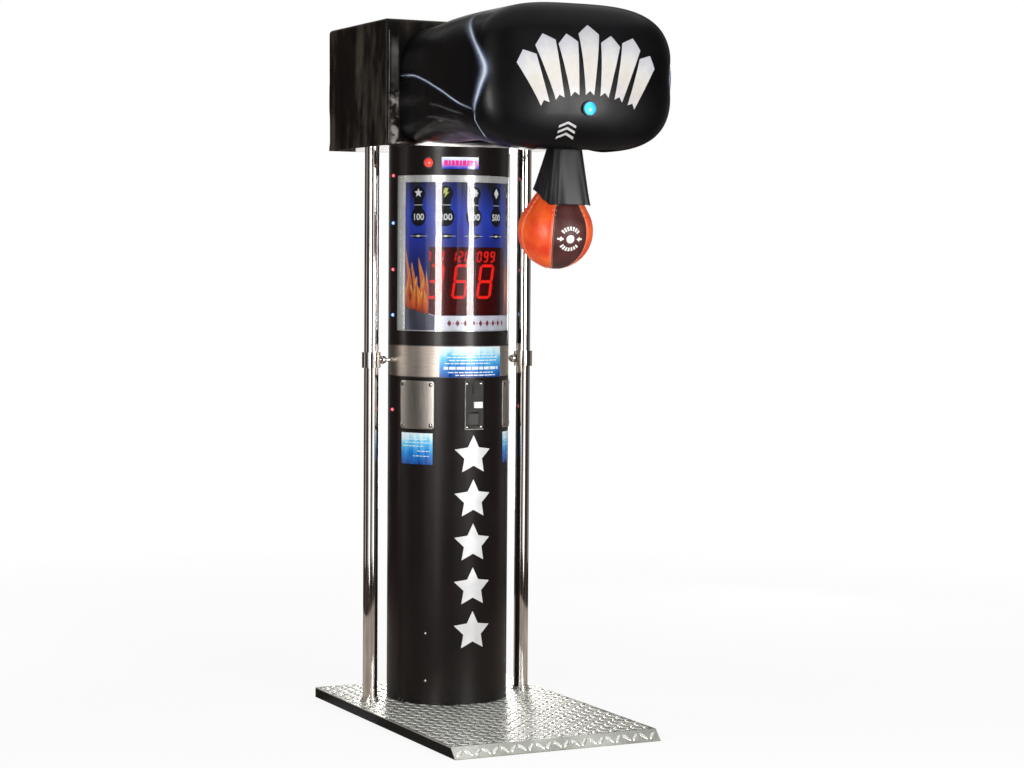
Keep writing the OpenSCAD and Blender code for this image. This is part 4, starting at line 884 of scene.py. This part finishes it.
def sleevePoint(angle, v):
    # a superellipse that widens downwards and ends on a slanted plane, with soft upright folds
    # and corners that flare at the hem; a few rounds find where each angle meets the plane
    power = 2 / sleeve["square"]
    cosine, sine = signPower(np.cos(angle), power), signPower(np.sin(angle), power)
    tall = sleeve["top"] - sleeve["low"]
    end = np.ones_like(angle)
    for _ in range(12):
        depth, reach = sleeveDepths(end)
        hem = sleeve["low"] + (sleeve["frontHem"] - depth - reach * sine) * math.tan(math.radians(sleeve["slant"]))
        end = (sleeve["top"] - hem) / tall
    t = v * end
    depth, reach = sleeveDepths(t)
    corner = np.abs(np.sin(2 * angle)) ** 6
    folds = 0.6 * np.sin(angle * 7 + 0.6) + 0.4 * np.sin(angle * 13 + 2.1 * v)
    wave = sleeve["wave"] * v * folds * (1 - 0.6 * corner)
    push = 1 + (wave + sleeve["flare"] * corner * ease((v - 0.72) / 0.28) ** 2) / sleeve["halfHem"]
    x = between(sleeve["halfTop"], sleeve["halfHem"], t) * cosine * push
    z = sleeve["top"] - tall * t - sleeve["sag"] * corner * ease((v - 0.75) / 0.25)
    return together(x, -(depth + reach * sine * push), z)


def buildSleeve():
    # the skirt, and over it rows that draw in to the round neck with small pleats
    v, turn = unitGrid(54, 161)
    spin = turn[:, :-1] * 2 * np.pi
    skirt = sleevePoint(spin, v[:, :-1])
    spin = spin[0]
    neck = np.array(sleeve["neckMiddle"]) + sleeve["neckRadius"] * together(np.cos(spin), -np.sin(spin), 0.0)
    cap = []
    for share in np.linspace(1, 0, 9)[:-1][::-1]:
        row = skirt[0] * share + neck * (1 - share)
        row[:, 2] += sleeve["pleat"] * np.sin(spin * sleeve["pleats"]) * math.sin(share * math.pi)
        cap.append(row)
    gather = Gather()
    gather.grid(np.concatenate([np.array(cap), skirt[1:]]), closed=True)
    cloth = gather.piece("sleeve_cloth", "arm", [finishes["sleeve_vinyl"]], "closed")
    thicken(cloth, sleeve["wall"])
    cloth.data.polygons.foreach_set("use_smooth", np.full(len(cloth.data.polygons), True))
    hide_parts("sleeve")


buildBall()
buildSeams()
buildBallMark()
buildSleeve()
print("ball and sleeve built")


# Tread: raised lozenges on the deck and down the bevel.

tread = {"pitch": 0.030, "long": 0.036, "wide": 0.0150, "high": 0.0019, "deck": 0.033, "front": -0.786, "back": 0.288,
         "columnFree": 0.196, "postX": 0.277, "postFree": 0.030, "bevelY": -0.8145, "bevelHeight": 0.0165,
         "columns": 23, "edge": 0.012}


def lozenge():
    # a pointed oval: outline rings that rise and shrink to a flat top
    spin = spinRing(10)
    x, y = np.cos(spin) * tread["long"] / 2, np.sin(spin) * np.abs(np.sin(spin)) ** 0.15 * tread["wide"] / 2
    rings = [(1.0, -0.02), (0.86, 0.65), (0.6, 1.0), (0.02, 1.0)]
    return np.array([together(x * size, y * size, tread["high"] * rise) for size, rise in rings])


def buildTread():
    shape = lozenge()
    gather = Gather()

    def place(spot, odd, tilt):
        # a lozenge turned half right or half left, on a face that is tilted forwards
        lean = math.radians(-45 if odd else 45)
        cosine, sine, flat, steep = math.cos(lean), math.sin(lean), math.cos(tilt), math.sin(tilt)
        axes = [(cosine, sine * flat, sine * steep), (-sine, cosine * flat, cosine * steep), (0, -steep, flat)]
        gather.grid(np.array(spot) + shape @ np.array(axes), closed=True)

    xs = (np.arange(tread["columns"]) - tread["columns"] // 2) * tread["pitch"]
    ys = np.arange(tread["front"] + tread["edge"], tread["back"], tread["pitch"])
    for i, x in enumerate(xs):
        for j, y in enumerate(ys):
            byPost = math.hypot(abs(x) - tread["postX"], y) < tread["postFree"]
            if math.hypot(x, y) >= tread["columnFree"] and not byPost:
                place((x, y, tread["deck"]), (i + j) % 2, 0.0)
        place((x, tread["bevelY"], tread["bevelHeight"]), i % 2, math.pi / 4)
    # the lozenges take a paler, smoother copy of the tread's aluminium: a painted highlight on the raised lozenges
    metal = finish("treadBumpsPaintedLit", (226, 227, 218), (250, 250, 244), (0.2, 0.32), 12, grain=0.1, metal=0.65)
    gather.piece("tread_lozenges", "machine", [metal], lambda centre: Vector((0, -0.45, 1)))


# Labels, blanking plates and trims on the column: heights in metres, angles in degrees.

columnParts = {"side": 56.3, "label": 0.2004, "labelInk": 0.20055, "bandLine": 0.2002}


def labelFinish():
    # printed label: nearly white at the top, azure in the middle, deep blue at the foot, with faint upright streaks
    material, tree = blank("labelPrint")
    streak = spread(tree, noise(tree, 60, (1, 1, 0.15), 4.0), -0.12, 0.12)
    colour = wavering(tree, uvAxis(tree, "Y"), streak,
                      [(0.0, (8, 58, 138)), (0.35, (22, 124, 204)), (0.68, (96, 192, 234)),
                       (0.84, (196, 230, 240)), (1.0, (222, 238, 242))])
    return close(material, surface(tree, colour=colour, rough=spread(tree, streak, 0.24, 0.34, -0.1, 0.1), coat=0.25))


def buildLabels():
    # one label on the band and one on each side; printed dashes stand in place of lettering
    frontRows = [(1.178, 0.0036, -22, 24, 5), (1.168, 0.0036, -26, 28, 4), (1.158, 0.0036, -24, 26, 5),
                 (1.148, 0.0036, -28, 18, 4), (1.130, 0.0095, -29, 29, 6), (1.119, 0.0034, -25, 22, 4),
                 (1.110, 0.0034, -18, 25, 5)]  # height, thickness, first and last angle, length of a dash
    sideRows = [(0.900, 0.0028, -15, 12, 3), (0.889, 0.0024, -13, 15, 3.5), (0.878, 0.0024, -15, 9, 3),
                (0.862, 0.0022, 2, 15, 3), (0.846, 0.0022, -3, 14, 3)]
    band = {"low": 1.105, "high": 1.204, "half": 33}
    side = {"low": 0.820, "high": 0.922, "half": 17.3}
    gap, radius = 0.9, columnParts["label"]
    white = finish("labelWhite", (214, 226, 230), (232, 240, 242), (0.3, 0.4), 50)
    gather = Gather()
    gather.patch(band["low"], band["high"], -band["half"], band["half"], radius)
    sides = (-columnParts["side"], columnParts["side"])
    for middle in sides:
        gather.patch(side["low"], side["high"], middle - side["half"], middle + side["half"], radius)

    def dashes(rows, middle):
        for height, thick, start, end, long in rows:
            place, index, end = middle + start, 0, middle + end
            while place < end - 0.5:
                wide = long * (0.7 + 0.6 * ((index * 7 + int(height * 1000)) % 5) / 4)
                gather.patch(height, height + thick, place, min(place + wide, end), columnParts["labelInk"], 1, 2)
                place, index = place + wide + gap, index + 1

    dashes(frontRows, 0)
    for middle in sides:
        dashes(sideRows, middle)
    labels = gather.piece("printed_labels", "machine", [labelFinish(), white], fromColumn)
    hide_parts("blue_labels")


def buildPlates():
    # each plate is an outline with round corners, lofted from the column to its face with a bevelled lip
    plate = {"low": 0.935, "high": 1.092, "half": 18.6, "corner": 0.009, "lip": 0.0011,
             "foot": 0.2000, "edge": 0.2018, "bevel": 0.2026, "face": 0.2030}
    mid, tall = (plate["low"] + plate["high"]) / 2, (plate["high"] - plate["low"]) / 2
    wide = math.radians(plate["half"]) * plate["face"]
    flat, out = roundedLoop(wide, -tall, tall, plate["corner"], 26, 8)
    gather = Gather()
    for side in (-1, 1):
        rings = [(flat, plate["foot"]), (flat, plate["edge"]), (flat - out * (plate["lip"] * 0.3), plate["bevel"])]
        rings += [((flat - out * plate["lip"]) * share, plate["face"]) for share in np.linspace(1, 0, 15)]
        middle = math.radians(side * columnParts["side"])
        spots = [onColumn(middle + ring[:, 0] / plate["face"], mid + ring[:, 1], radius) for ring, radius in rings]
        gather.grid(np.array(spots), closed=True)
    skin = gather.piece("plate_covers", "machine", [finishes["brushed_plate"]], fromColumn, merge=True)
    skin.data.set_sharp_from_angle(angle=math.radians(50))
    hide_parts("blanking_plates")


def buildColumnTrims():
    # painted highlights on the coin plate's bottom and left edges, dark lines along the band, and cross slots in the
    # large screws drawn as painted shade
    slot = {"off": 15.43, "heights": (0.947, 1.080), "long": 0.0072, "wide": 0.0012, "turns": (25, 115),
            "head": 0.206, "radius": 0.20615}
    # low and high end, left and right end of the painted highlights on the plate's bottom and left edges
    edges, plateY = [(0.9352, 0.9364, -0.0325, 0.0325), (0.9364, 1.0915, -0.0328, -0.0318)], -0.20415
    line = {"heights": (1.1040, 1.2052), "thick": 0.0018, "half": 178}
    edge = finish("plateEdgeHighlight", (150, 146, 140), (190, 186, 180), (0.25, 0.4), 40, metal=0.8)
    dark = finish("jointShadow", (16, 14, 13), (26, 23, 22), (0.5, 0.7), 40)
    gather = Gather()
    u, v = unitGrid(3, 4)
    for low, high, left, right in edges:
        gather.grid(together(between(left, right, v), plateY, between(low, high, u)))
    for height in line["heights"]:
        gather.patch(height, height + line["thick"], -line["half"], line["half"], columnParts["bandLine"], 1, 2)
    # the cross slots are flat patches of painted shade, not recesses
    u, v = unitGrid(3, 5)
    along, across = (v - 0.5) * slot["long"], (u - 0.5) * slot["wide"]
    for side in (-1, 1):
        for off in (-slot["off"], slot["off"]):
            for height in slot["heights"]:
                angle = math.radians(side * columnParts["side"] + off)
                for turn in map(math.radians, slot["turns"]):
                    x = along * math.cos(turn) - across * math.sin(turn)
                    z = along * math.sin(turn) + across * math.cos(turn)
                    gather.grid(onColumn(angle + x / slot["head"], height + z, slot["radius"]), slot=1)
    gather.piece("column_trims", "machine", [edge, dark], fromColumn)


# The window's print, digits and sign.

window = {"sheet": 0.19306, "paper": 0.00004, "ink": 0.0001, "edge": 72, "groundLow": 1.48, "groundHigh": 1.742,
          "slopeFrom": 1.340, "slopeDrop": 0.036, "slopeTurn": 34, "flameIn": 44.4, "flameOut": 71.8,
          "stripLow": 1.2565, "stripHigh": 1.3045, "stripMiddle": 1.2800, "fieldPitch": 28, "iconHeight": 1.702,
          "ruleLow": 1.662, "ruleHigh": 1.6638, "ruleHalf": 4.6, "numberHeight": 1.6145, "numberSize": 0.029,
          "lampHeight": 1.5625, "barLow": 1.5619, "barHigh": 1.5631, "barHalf": 9.5}
# Flames at the window's edges: middle angle, width, height, bend.
tongues = [(-70.5, 0.030, 0.188, 0.010), (-66.5, 0.028, 0.128, -0.008), (-62.5, 0.032, 0.150, 0.008),
           (-58.0, 0.030, 0.110, -0.006), (-54.0, 0.028, 0.176, 0.011), (-50.0, 0.028, 0.120, -0.008),
           (-46.6, 0.018, 0.142, 0.004), (-68.5, 0.024, 0.086, -0.006), (-64.0, 0.024, 0.078, 0.006),
           (-60.0, 0.024, 0.070, -0.004), (-56.0, 0.022, 0.084, 0.005), (-52.0, 0.022, 0.070, -0.005),
           (-48.4, 0.018, 0.078, 0.003)]


def oval(radiusX, radiusZ, count=40):
    spin = spinRing(count)
    return together(radiusX * np.cos(spin), radiusZ * np.sin(spin))


def polygon(corners, per=5):
    # each side of the polygon in equal steps
    corners = np.array(corners, dtype=float)[:, None, :]
    share = np.linspace(0, 1, per + 1)[None, :-1, None]
    return between(corners, np.roll(corners, -1, axis=0), share).reshape(-1, 2)


def star(outer, inner, points=5, per=4):
    # corners by turns on an outer and an inner circle
    spin = math.pi / 2 + math.pi * np.arange(points * 2) / points
    size = np.where(np.arange(points * 2) % 2 == 0, outer, inner)
    return polygon(together(size * np.cos(spin), size * np.sin(spin)), per)


def diamond(half, tall, per=5):
    return polygon([(0, tall), (half, 0), (0, -tall), (-half, 0)], per)


def printNumber(gather, body, size, middle, height, radius, slot):
    # generic numbers, turned into triangles and laid on the column
    curve = bpy.data.curves.new("numbers", "FONT")
    curve.body, curve.size, curve.align_x, curve.resolution_u, curve.offset = body, size, "CENTER", 3, 0.0006
    holder = linked("numbers", curve)
    graph = bpy.context.evaluated_depsgraph_get()
    mesh = bpy.data.meshes.new_from_object(holder.evaluated_get(graph))
    mesh.calc_loop_triangles()
    spots = np.zeros(len(mesh.vertices) * 3)
    mesh.vertices.foreach_get("co", spots)
    spots = spots.reshape(-1, 3)
    faces = np.array([triangle.vertices[:] for triangle in mesh.loop_triangles])
    gather.add(onColumn(math.radians(middle) + spots[:, 0] / radius, height + spots[:, 1], radius), faces, slot=slot)
    bpy.data.objects.remove(holder)
    bpy.data.meshes.remove(mesh)
    bpy.data.curves.remove(curve)


def flameFinish():
    # dark red at the foot of a flame to pale yellow at its tip
    material, tree = blank("flamePrint")
    drift = spread(tree, noise(tree, 70, (1, 1, 0.4), 4.0), -0.16, 0.16)
    colour = wavering(tree, uvAxis(tree, "X"), drift,
                      [(0.0, (104, 34, 18)), (0.3, (176, 66, 26)), (0.62, (206, 104, 36)),
                       (0.85, (214, 152, 62)), (1.0, (222, 190, 110))])
    return close(material, surface(tree, colour=colour, rough=0.4))


def groundFinish():
    # the sheet's blue, with painted shade that darkens it to near black at its top; brightest in the middle, with
    # upright streaks
    material, tree = blank("printGround")
    share = spread(tree, objectHeight(tree), 0.0, 1.0, window["groundLow"], window["groundHigh"])
    streak = spread(tree, noise(tree, 26, (1, 1, 0.12)), -0.1, 0.1)
    colour = wavering(tree, share, streak, [(0.0, (8, 26, 104)), (0.3, (8, 40, 146)), (0.6, (12, 52, 170)),
                                            (0.82, (8, 34, 120)), (1.0, (3, 7, 30))])
    return close(material, surface(tree, colour=colour, rough=spread(tree, streak, 0.32, 0.42, -0.1, 0.1)))


def buildPrint():
    for holder in nodes["print_sheet"].material_slots:
        holder.material = groundFinish()
    inks = {
        "black": finish("printBlack", (5, 5, 8), (11, 11, 15), (0.45, 0.55), 40, specular=0.2),
        "light": finish("printLight", (206, 208, 208), (232, 234, 232), (0.35, 0.5), 60),
        "silver": finish("printSilver", (188, 190, 200), (218, 220, 228), (0.3, 0.42), 12, (1, 1, 0.3), metal=0.15),
        "wine": finish("printWine", (96, 14, 30), (122, 22, 40), (0.4, 0.5), 60),
        "slate": finish("printSlate", (54, 55, 68), (84, 86, 102), (0.3, 0.42), 18, (1, 1, 0.3), metal=0.3),
        "lime": finish("printLime", (176, 184, 84), (206, 208, 120), (0.4, 0.5), 60),
        "flame": flameFinish()}
    black, light, silver, wine, slate, lime, flame = range(len(inks))
    gather = Gather()
    sheet = window["sheet"]
    paper, ink = sheet + window["paper"], sheet + window["ink"]
    # a silver strip across the foot, and a slate field with a light edge that slopes down from the left
    gather.patch(window["stripLow"], window["stripHigh"], -window["edge"], window["edge"], sheet, silver, 4)
    u, v = unitGrid(6, 22)
    angle = np.radians(-window["edge"] + window["slopeTurn"] * v)
    top = window["slopeFrom"] - window["slopeDrop"] * v
    gather.grid(onColumn(angle, between(1.257, top, u), paper), slot=slate)
    gather.grid(onColumn(angle, top + 0.0016 * (u - 0.5), sheet + 0.00012), slot=light)
    # five fields, each with an icon, a number and an oval lamp under it
    bolt = [(-0.004, 0.016), (0.009, 0.016), (0.003, 0.003), (0.011, 0.003),
            (-0.006, -0.017), (-0.001, -0.002), (-0.010, -0.002)]
    icons = [star(0.016, 0.007), polygon(bolt, 3), star(0.016, 0.011, 8, 2), diamond(0.012, 0.017),
             polygon([(0, 0.015), (0.014, -0.010), (-0.014, -0.010)])]
    neck = polygon([(-0.014, -0.03), (0.014, -0.03), (0.018, 0.035), (-0.018, 0.035)])
    for k, number in enumerate(("100", "200", "300", "500", "700")):
        middle = (k - 2) * window["fieldPitch"]
        for outline, height in [(oval(0.024, 0.024), 1.700), (oval(0.028, 0.031), 1.625), (neck, 1.665)]:
            gather.fill(outline, middle, height, paper, black)
        gather.fill(icons[k], middle, window["iconHeight"], ink, lime if k == 1 else light)
        half = window["ruleHalf"]
        gather.patch(window["ruleLow"], window["ruleHigh"], middle - half, middle + half, ink, light, 2)
        printNumber(gather, number, window["numberSize"], middle, window["numberHeight"], ink, light)
        gather.fill(oval(0.024, 0.0078), middle, window["lampHeight"], paper, black)
        half = window["barHalf"]
        gather.patch(window["barLow"], window["barHigh"], middle - half, middle + half, ink, light, 2)
        gather.fill(oval(0.007, 0.0032), middle, window["lampHeight"], sheet + 0.00016, light)
    # diamonds and dots along the silver strip
    for k in range(9):
        gather.fill(diamond(0.0075, 0.011, 4), -24 + 8 * k, window["stripMiddle"], ink, wine)
        if k < 8:
            gather.fill(oval(0.0022, 0.0022, 14), -20 + 8 * k, window["stripMiddle"], ink, wine)
    # flames: a width that narrows upwards, on a middle line that bends
    rows, across = unitGrid(24, 6)
    edges = np.radians((window["flameIn"], window["flameOut"]))
    for index, (middle, wide, high, bend) in enumerate(tongues):
        for side in (-1, 1):
            slope = window["slopeDrop"] * (middle + window["edge"]) / window["slopeTurn"]
            foot = 1.337 if side > 0 else window["slopeFrom"] - slope
            narrow = (1 - rows) ** 0.75 * (1 + 0.35 * np.sin(rows * 5.5 + index))
            x = (across - 0.5) * wide * narrow + bend * np.sin(rows * 4.2) + 0.5 * bend * rows
            turned = np.clip(math.radians(-middle) - x / sheet, *edges)
            spots = onColumn(side * turned, foot - 0.003 + high * rows, sheet + 0.00008 + 0.00001 * index)
            gather.grid(spots, together(rows * 0.9 + (0.0 if high > 0.1 else 0.15), across), flame)
    u, v = unitGrid(10, 20)
    turned = between(window["flameIn"], window["flameOut"], v)
    for side in (-1, 1):
        foot = 1.304 if side > 0 else 1.304 + (turned - 44) / 28 * window["slopeDrop"]
        spots = onColumn(side * np.radians(turned), between(foot, 1.372, u), sheet + 0.00003)
        gather.grid(spots, together(u * 0.5, v), flame)
    gather.piece("window_art", "machine", inks.values(), fromColumn)


# Seven bars: where each starts and ends in the digit's field, and the bars that each digit lights.
bars = {"a": (0, 1, 1, 1), "b": (1, 0.5, 1, 1), "c": (1, 0, 1, 0.5), "d": (0, 0, 1, 0), "e": (0, 0, 0, 0.5),
        "f": (0, 0.5, 0, 1), "g": (0, 0.5, 1, 0.5)}
lit = {"0": "abcdef", "1": "bc", "2": "abged", "3": "abgcd", "6": "acdefg", "8": "abcdefg", "9": "abcdfg"}
digits = {"y": -0.0924, "lean": 0.14, "large": {"low": 1.363, "wide": 0.044, "high": 0.104, "thick": 0.0098},
          "small": {"low": 1.481, "wide": 0.0125, "high": 0.031, "thick": 0.0050},
          "score": ("368", 0.090), "groups": ("310", "120", "099"), "groupPitch": 0.092, "smallPitch": 0.024}


def buildDigits():
    # seven bars to a digit, each a long hexagon, the whole digit leaning to the right
    material, tree = blank("digitGlow")
    rim, core = (1, 0.12, 0.07, 1), (1, 0.62, 0.42, 1)
    drift = spread(tree, noise(tree, 120), -0.08, 0.08)
    colour = wavering(tree, uvAxis(tree, "Y"), drift, [(0.0, rim), (0.5, core), (1.0, rim)])
    close(material, surface(tree, colour=(0.3, 0.02, 0.02, 1), rough=0.4, lightColour=colour, light=1.7))
    gather = Gather()

    def digit(sign, middle, field):
        low, wide, high, thick = field["low"], field["wide"], field["high"], field["thick"]
        for key in lit[sign]:
            x0, z0, x1, z1 = bars[key]
            start = np.array([middle + (x0 - 0.5) * wide, low + z0 * high])
            end = np.array([middle + (x1 - 0.5) * wide, low + z1 * high])
            ahead = (end - start) / np.linalg.norm(end - start)
            start, end = start + ahead * thick * 0.07, end - ahead * thick * 0.07
            side = np.array([-ahead[1], ahead[0]])
            tip = thick * 0.5 / np.linalg.norm(end - start)
            u, v = np.meshgrid([0, tip, 0.5, 1 - tip, 1], np.linspace(0, 1, 5), indexing="ij")
            taper = np.clip(np.minimum(u, 1 - u) / tip, 0.04, 1)
            flat = between(start, end, u[..., None]) + side * ((v - 0.5) * thick * taper)[..., None]
            x = flat[..., 0] + (flat[..., 1] - low - high / 2) * digits["lean"]
            gather.grid(together(x, digits["y"], flat[..., 1]), together(u, v))

    signs, pitch = digits["score"]
    for k, sign in enumerate(signs):
        digit(sign, (k - 1) * pitch, digits["large"])
    for place, group in enumerate(digits["groups"]):
        for k, sign in enumerate(group):
            digit(sign, (place - 1) * digits["groupPitch"] + (k - 1) * digits["smallPitch"], digits["small"])
    gather.piece("lit_digits", "machine", [material], toPlayer)


def buildSignArt():
    # blocks of light on the sign in place of lettering
    sign = {"low": 1.7895, "high": 1.8065, "radius": 0.20512, "start": -29.5, "gap": 0.65,
            "wide": (3.4, 2.0, 3.0, 3.0, 2.2, 3.4, 2.6, 3.0, 2.2)}
    pink = glow("signPink", (226, 56, 140), (190, 34, 110), 0.3)
    gather = Gather()
    place = sign["start"]
    for wide in sign["wide"]:
        gather.patch(sign["low"], sign["high"], place, place + wide, sign["radius"], 0, 4, 0.8)
        place += wide + sign["gap"]
    gather.piece("sign_blocks", "machine", [pink], fromColumn)


buildTread()
buildLabels()
buildPlates()
buildColumnTrims()
buildPrint()
buildDigits()
buildSignArt()
print("column, window and tread built")


# Stage: world, floor, lamps, cards and camera.

stage = {"floorHalf": 30.0, "floorHeight": -0.001, "nearWhite": 0.88, "nearRadius": 1.2, "farRadius": 4.5, "fill": 0.34}
# Upright softboxes: angle as on the column, distance, low and high end, width, radiance.
lamps = {"softboxLeft": (-43.7, 3.0, 1.05, 1.95, 0.64, 20), "softboxRight": (15.3, 3.0, 1.05, 1.95, 0.72, 20),
         "softboxTop": (-30, 3.2, 2.9, 3.3, 1.6, 4), "softboxBackLeft": (-140, 3.4, 0.5, 2.2, 0.6, 9),
         "softboxBackRight": (125, 3.4, 0.5, 2.2, 0.6, 9)}
# Cards that only mirrors see: first and last angle, low and high end, distance, light.
cards = {"paleCard0": (-68, -34, 0.0, 4.6, 4.0, 0.85), "paleCard1": (-10, 27, 0.0, 4.6, 4.0, 0.85),
         "paleCard2": (148, 162, 0.0, 4.6, 4.0, 0.9), "paleCard3": (-118, -104, 0.0, 4.6, 4.0, 0.5),
         "paleCard4": (88, 112, 0.0, 4.6, 4.0, 0.35),
         "softboxFace0": (-49.7, -37.7, 1.05, 1.95, 3.0, 21.0), "softboxFoot0": (-47.7, -39.7, 0.05, 1.0, 3.0, 2.6),
         "softboxFace1": (8.7, 21.9, 1.05, 1.95, 3.0, 21.0), "softboxFoot1": (10.7, 19.9, 0.05, 1.0, 3.0, 2.6),
         "softboxBackFace": (150, 160, 0.3, 2.3, 3.4, 10.0)}
room = {"radius": 4.2, "height": 5.5, "groundInner": 0.42, "groundMiddle": 2.4, "groundHeight": 0.002}
view = {"place": (-3.28149, -7.13442, 1.46865), "yaw": 26.25, "pitch": -2.87, "roll": 0.42, "lens": 83.05}


def whiteShare(tree):
    # 1 for rays of the camera, of mirrors and of clear sheets
    path = add(tree, "ShaderNodeLightPath").outputs
    first = calc(tree, "MAXIMUM", path["Is Camera Ray"], path["Is Glossy Ray"])
    return calc(tree, "MAXIMUM", first, path["Is Transmission Ray"])


def buildWorld():
    world = bpy.data.worlds.new("whiteRoom")
    world.use_nodes = True
    tree = world.node_tree
    tree.nodes.clear()
    level = spread(tree, whiteShare(tree), stage["fill"], 1.0, 0.0, 1.0)
    light = add(tree, "ShaderNodeBackground", {"Color": (1, 1, 1, 1), "Strength": level}).outputs["Background"]
    add(tree, "ShaderNodeOutputWorld", {"Surface": light})
    bpy.context.scene.world = world


def buildFloor():
    # white floor: its own shading near the machine keeps the shadow, further out it is plain white
    material, tree = blank("whiteFloor")
    place = add(tree, "ShaderNodeTexCoord").outputs["Object"]
    away = add(tree, "ShaderNodeVectorMath", {0: place}, operation="LENGTH").outputs["Value"]
    share = spread(tree, away, stage["nearWhite"], 1.0, stage["nearRadius"], stage["farRadius"])
    ground = surface(tree, colour=(0.9, 0.9, 0.9, 1), rough=0.8, specular=0.1)
    white = emission(tree, (1, 1, 1, 1), 1.0)
    mix = calc(tree, "MULTIPLY", share, whiteShare(tree))
    close(material, add(tree, "ShaderNodeMixShader", {0: mix, 1: ground, 2: white}).outputs[0])
    gather = Gather()
    v, u = unitGrid(2, 2)
    gather.grid(together((2 * u - 1) * stage["floorHalf"], (2 * v - 1) * stage["floorHalf"], stage["floorHeight"]))
    linked("floor", gather.mesh("floor", [material]))


def buildLamp(name, angle, distance, low, high, width, radiance):
    # mirrors see the cards instead of the lamps
    lamp = bpy.data.lights.new(name, "AREA")
    lamp.shape = "RECTANGLE"
    lamp.size, lamp.size_y = width, high - low
    lamp.energy = radiance * math.pi * width * (high - low)
    obj = linked(name, lamp)
    spin = math.radians(angle)
    obj.location = (distance * math.sin(spin), -distance * math.cos(spin), (low + high) / 2)
    obj.rotation_euler = (math.radians(90), 0, spin)
    obj.visible_camera = obj.visible_glossy = False


def showToMirrors(name, gather, materials):
    obj = linked(name, gather.mesh(name, materials))
    obj.visible_camera = obj.visible_diffuse = obj.visible_shadow = obj.visible_transmission = False


def cardFinish(name, scale, stretch, dark, light):
    # a card that gives off a little light of its own, in soft patches
    material, tree = blank(name)
    colour = ramp(tree, noise(tree, scale, stretch, 2.0), [(0.35, dark), (0.68, light)], smooth=True)
    return close(material, emission(tree, colour, 1.0))


def buildRoom():
    # a dark wall round the machine, a dark ring on the floor and a tan one inside it
    dark = cardFinish("darkCard", 0.7, (1, 1, 0.2), (0.018, 0.014, 0.012, 1), (0.075, 0.06, 0.052, 1))
    tan = cardFinish("tanGround", 0.9, (1, 1, 1), (0.30, 0.25, 0.21, 1), (0.46, 0.40, 0.35, 1))
    gather = Gather()
    u, v = unitGrid(2, 40)
    gather.grid(onColumn(np.radians(between(-178, 178, v)), room["height"] * u, room["radius"]))
    u, v = unitGrid(2, 60)
    for slot, (inner, outer) in enumerate([("groundMiddle", "radius"), ("groundInner", "groundMiddle")]):
        gather.grid(onColumn(v * 2 * np.pi, room["groundHeight"], between(room[inner], room[outer], u)), slot=slot)
    showToMirrors("darkCards", gather, [dark, tan])


def buildCard(name, start, end, low, high, radius, light):
    material, tree = blank(name)
    close(material, emission(tree, (1.0, 0.975, 0.955, 1), light))
    gather = Gather()
    u, v = unitGrid(2, 12)
    gather.grid(onColumn(np.radians(between(start, end, v)), between(low, high, u), radius))
    showToMirrors(name, gather, [material])


def placeCamera():
    yaw, pitch, roll = (math.radians(view[key]) for key in ("yaw", "pitch", "roll"))
    forward = Vector((math.sin(yaw) * math.cos(pitch), math.cos(yaw) * math.cos(pitch), math.sin(pitch)))
    right = Vector((math.cos(yaw), -math.sin(yaw), 0))
    up = right.cross(forward)
    side = right * math.cos(roll) + up * math.sin(roll)
    top = up * math.cos(roll) - right * math.sin(roll)
    data = bpy.data.cameras.new("photoCamera")
    data.lens = view["lens"]
    data.sensor_width = 36.0
    obj = linked("photoCamera", data)
    turn = Matrix((side, top, -forward)).transposed().to_4x4()
    obj.matrix_world = Matrix.Translation(Vector(view["place"])) @ turn
    bpy.context.scene.camera = obj


buildWorld()
buildFloor()
for name, values in lamps.items():
    buildLamp(name, *values)
buildRoom()
for name, values in cards.items():
    buildCard(name, *values)
placeCamera()
bpy.context.scene.view_settings.view_transform = "Standard"
print("stage built")
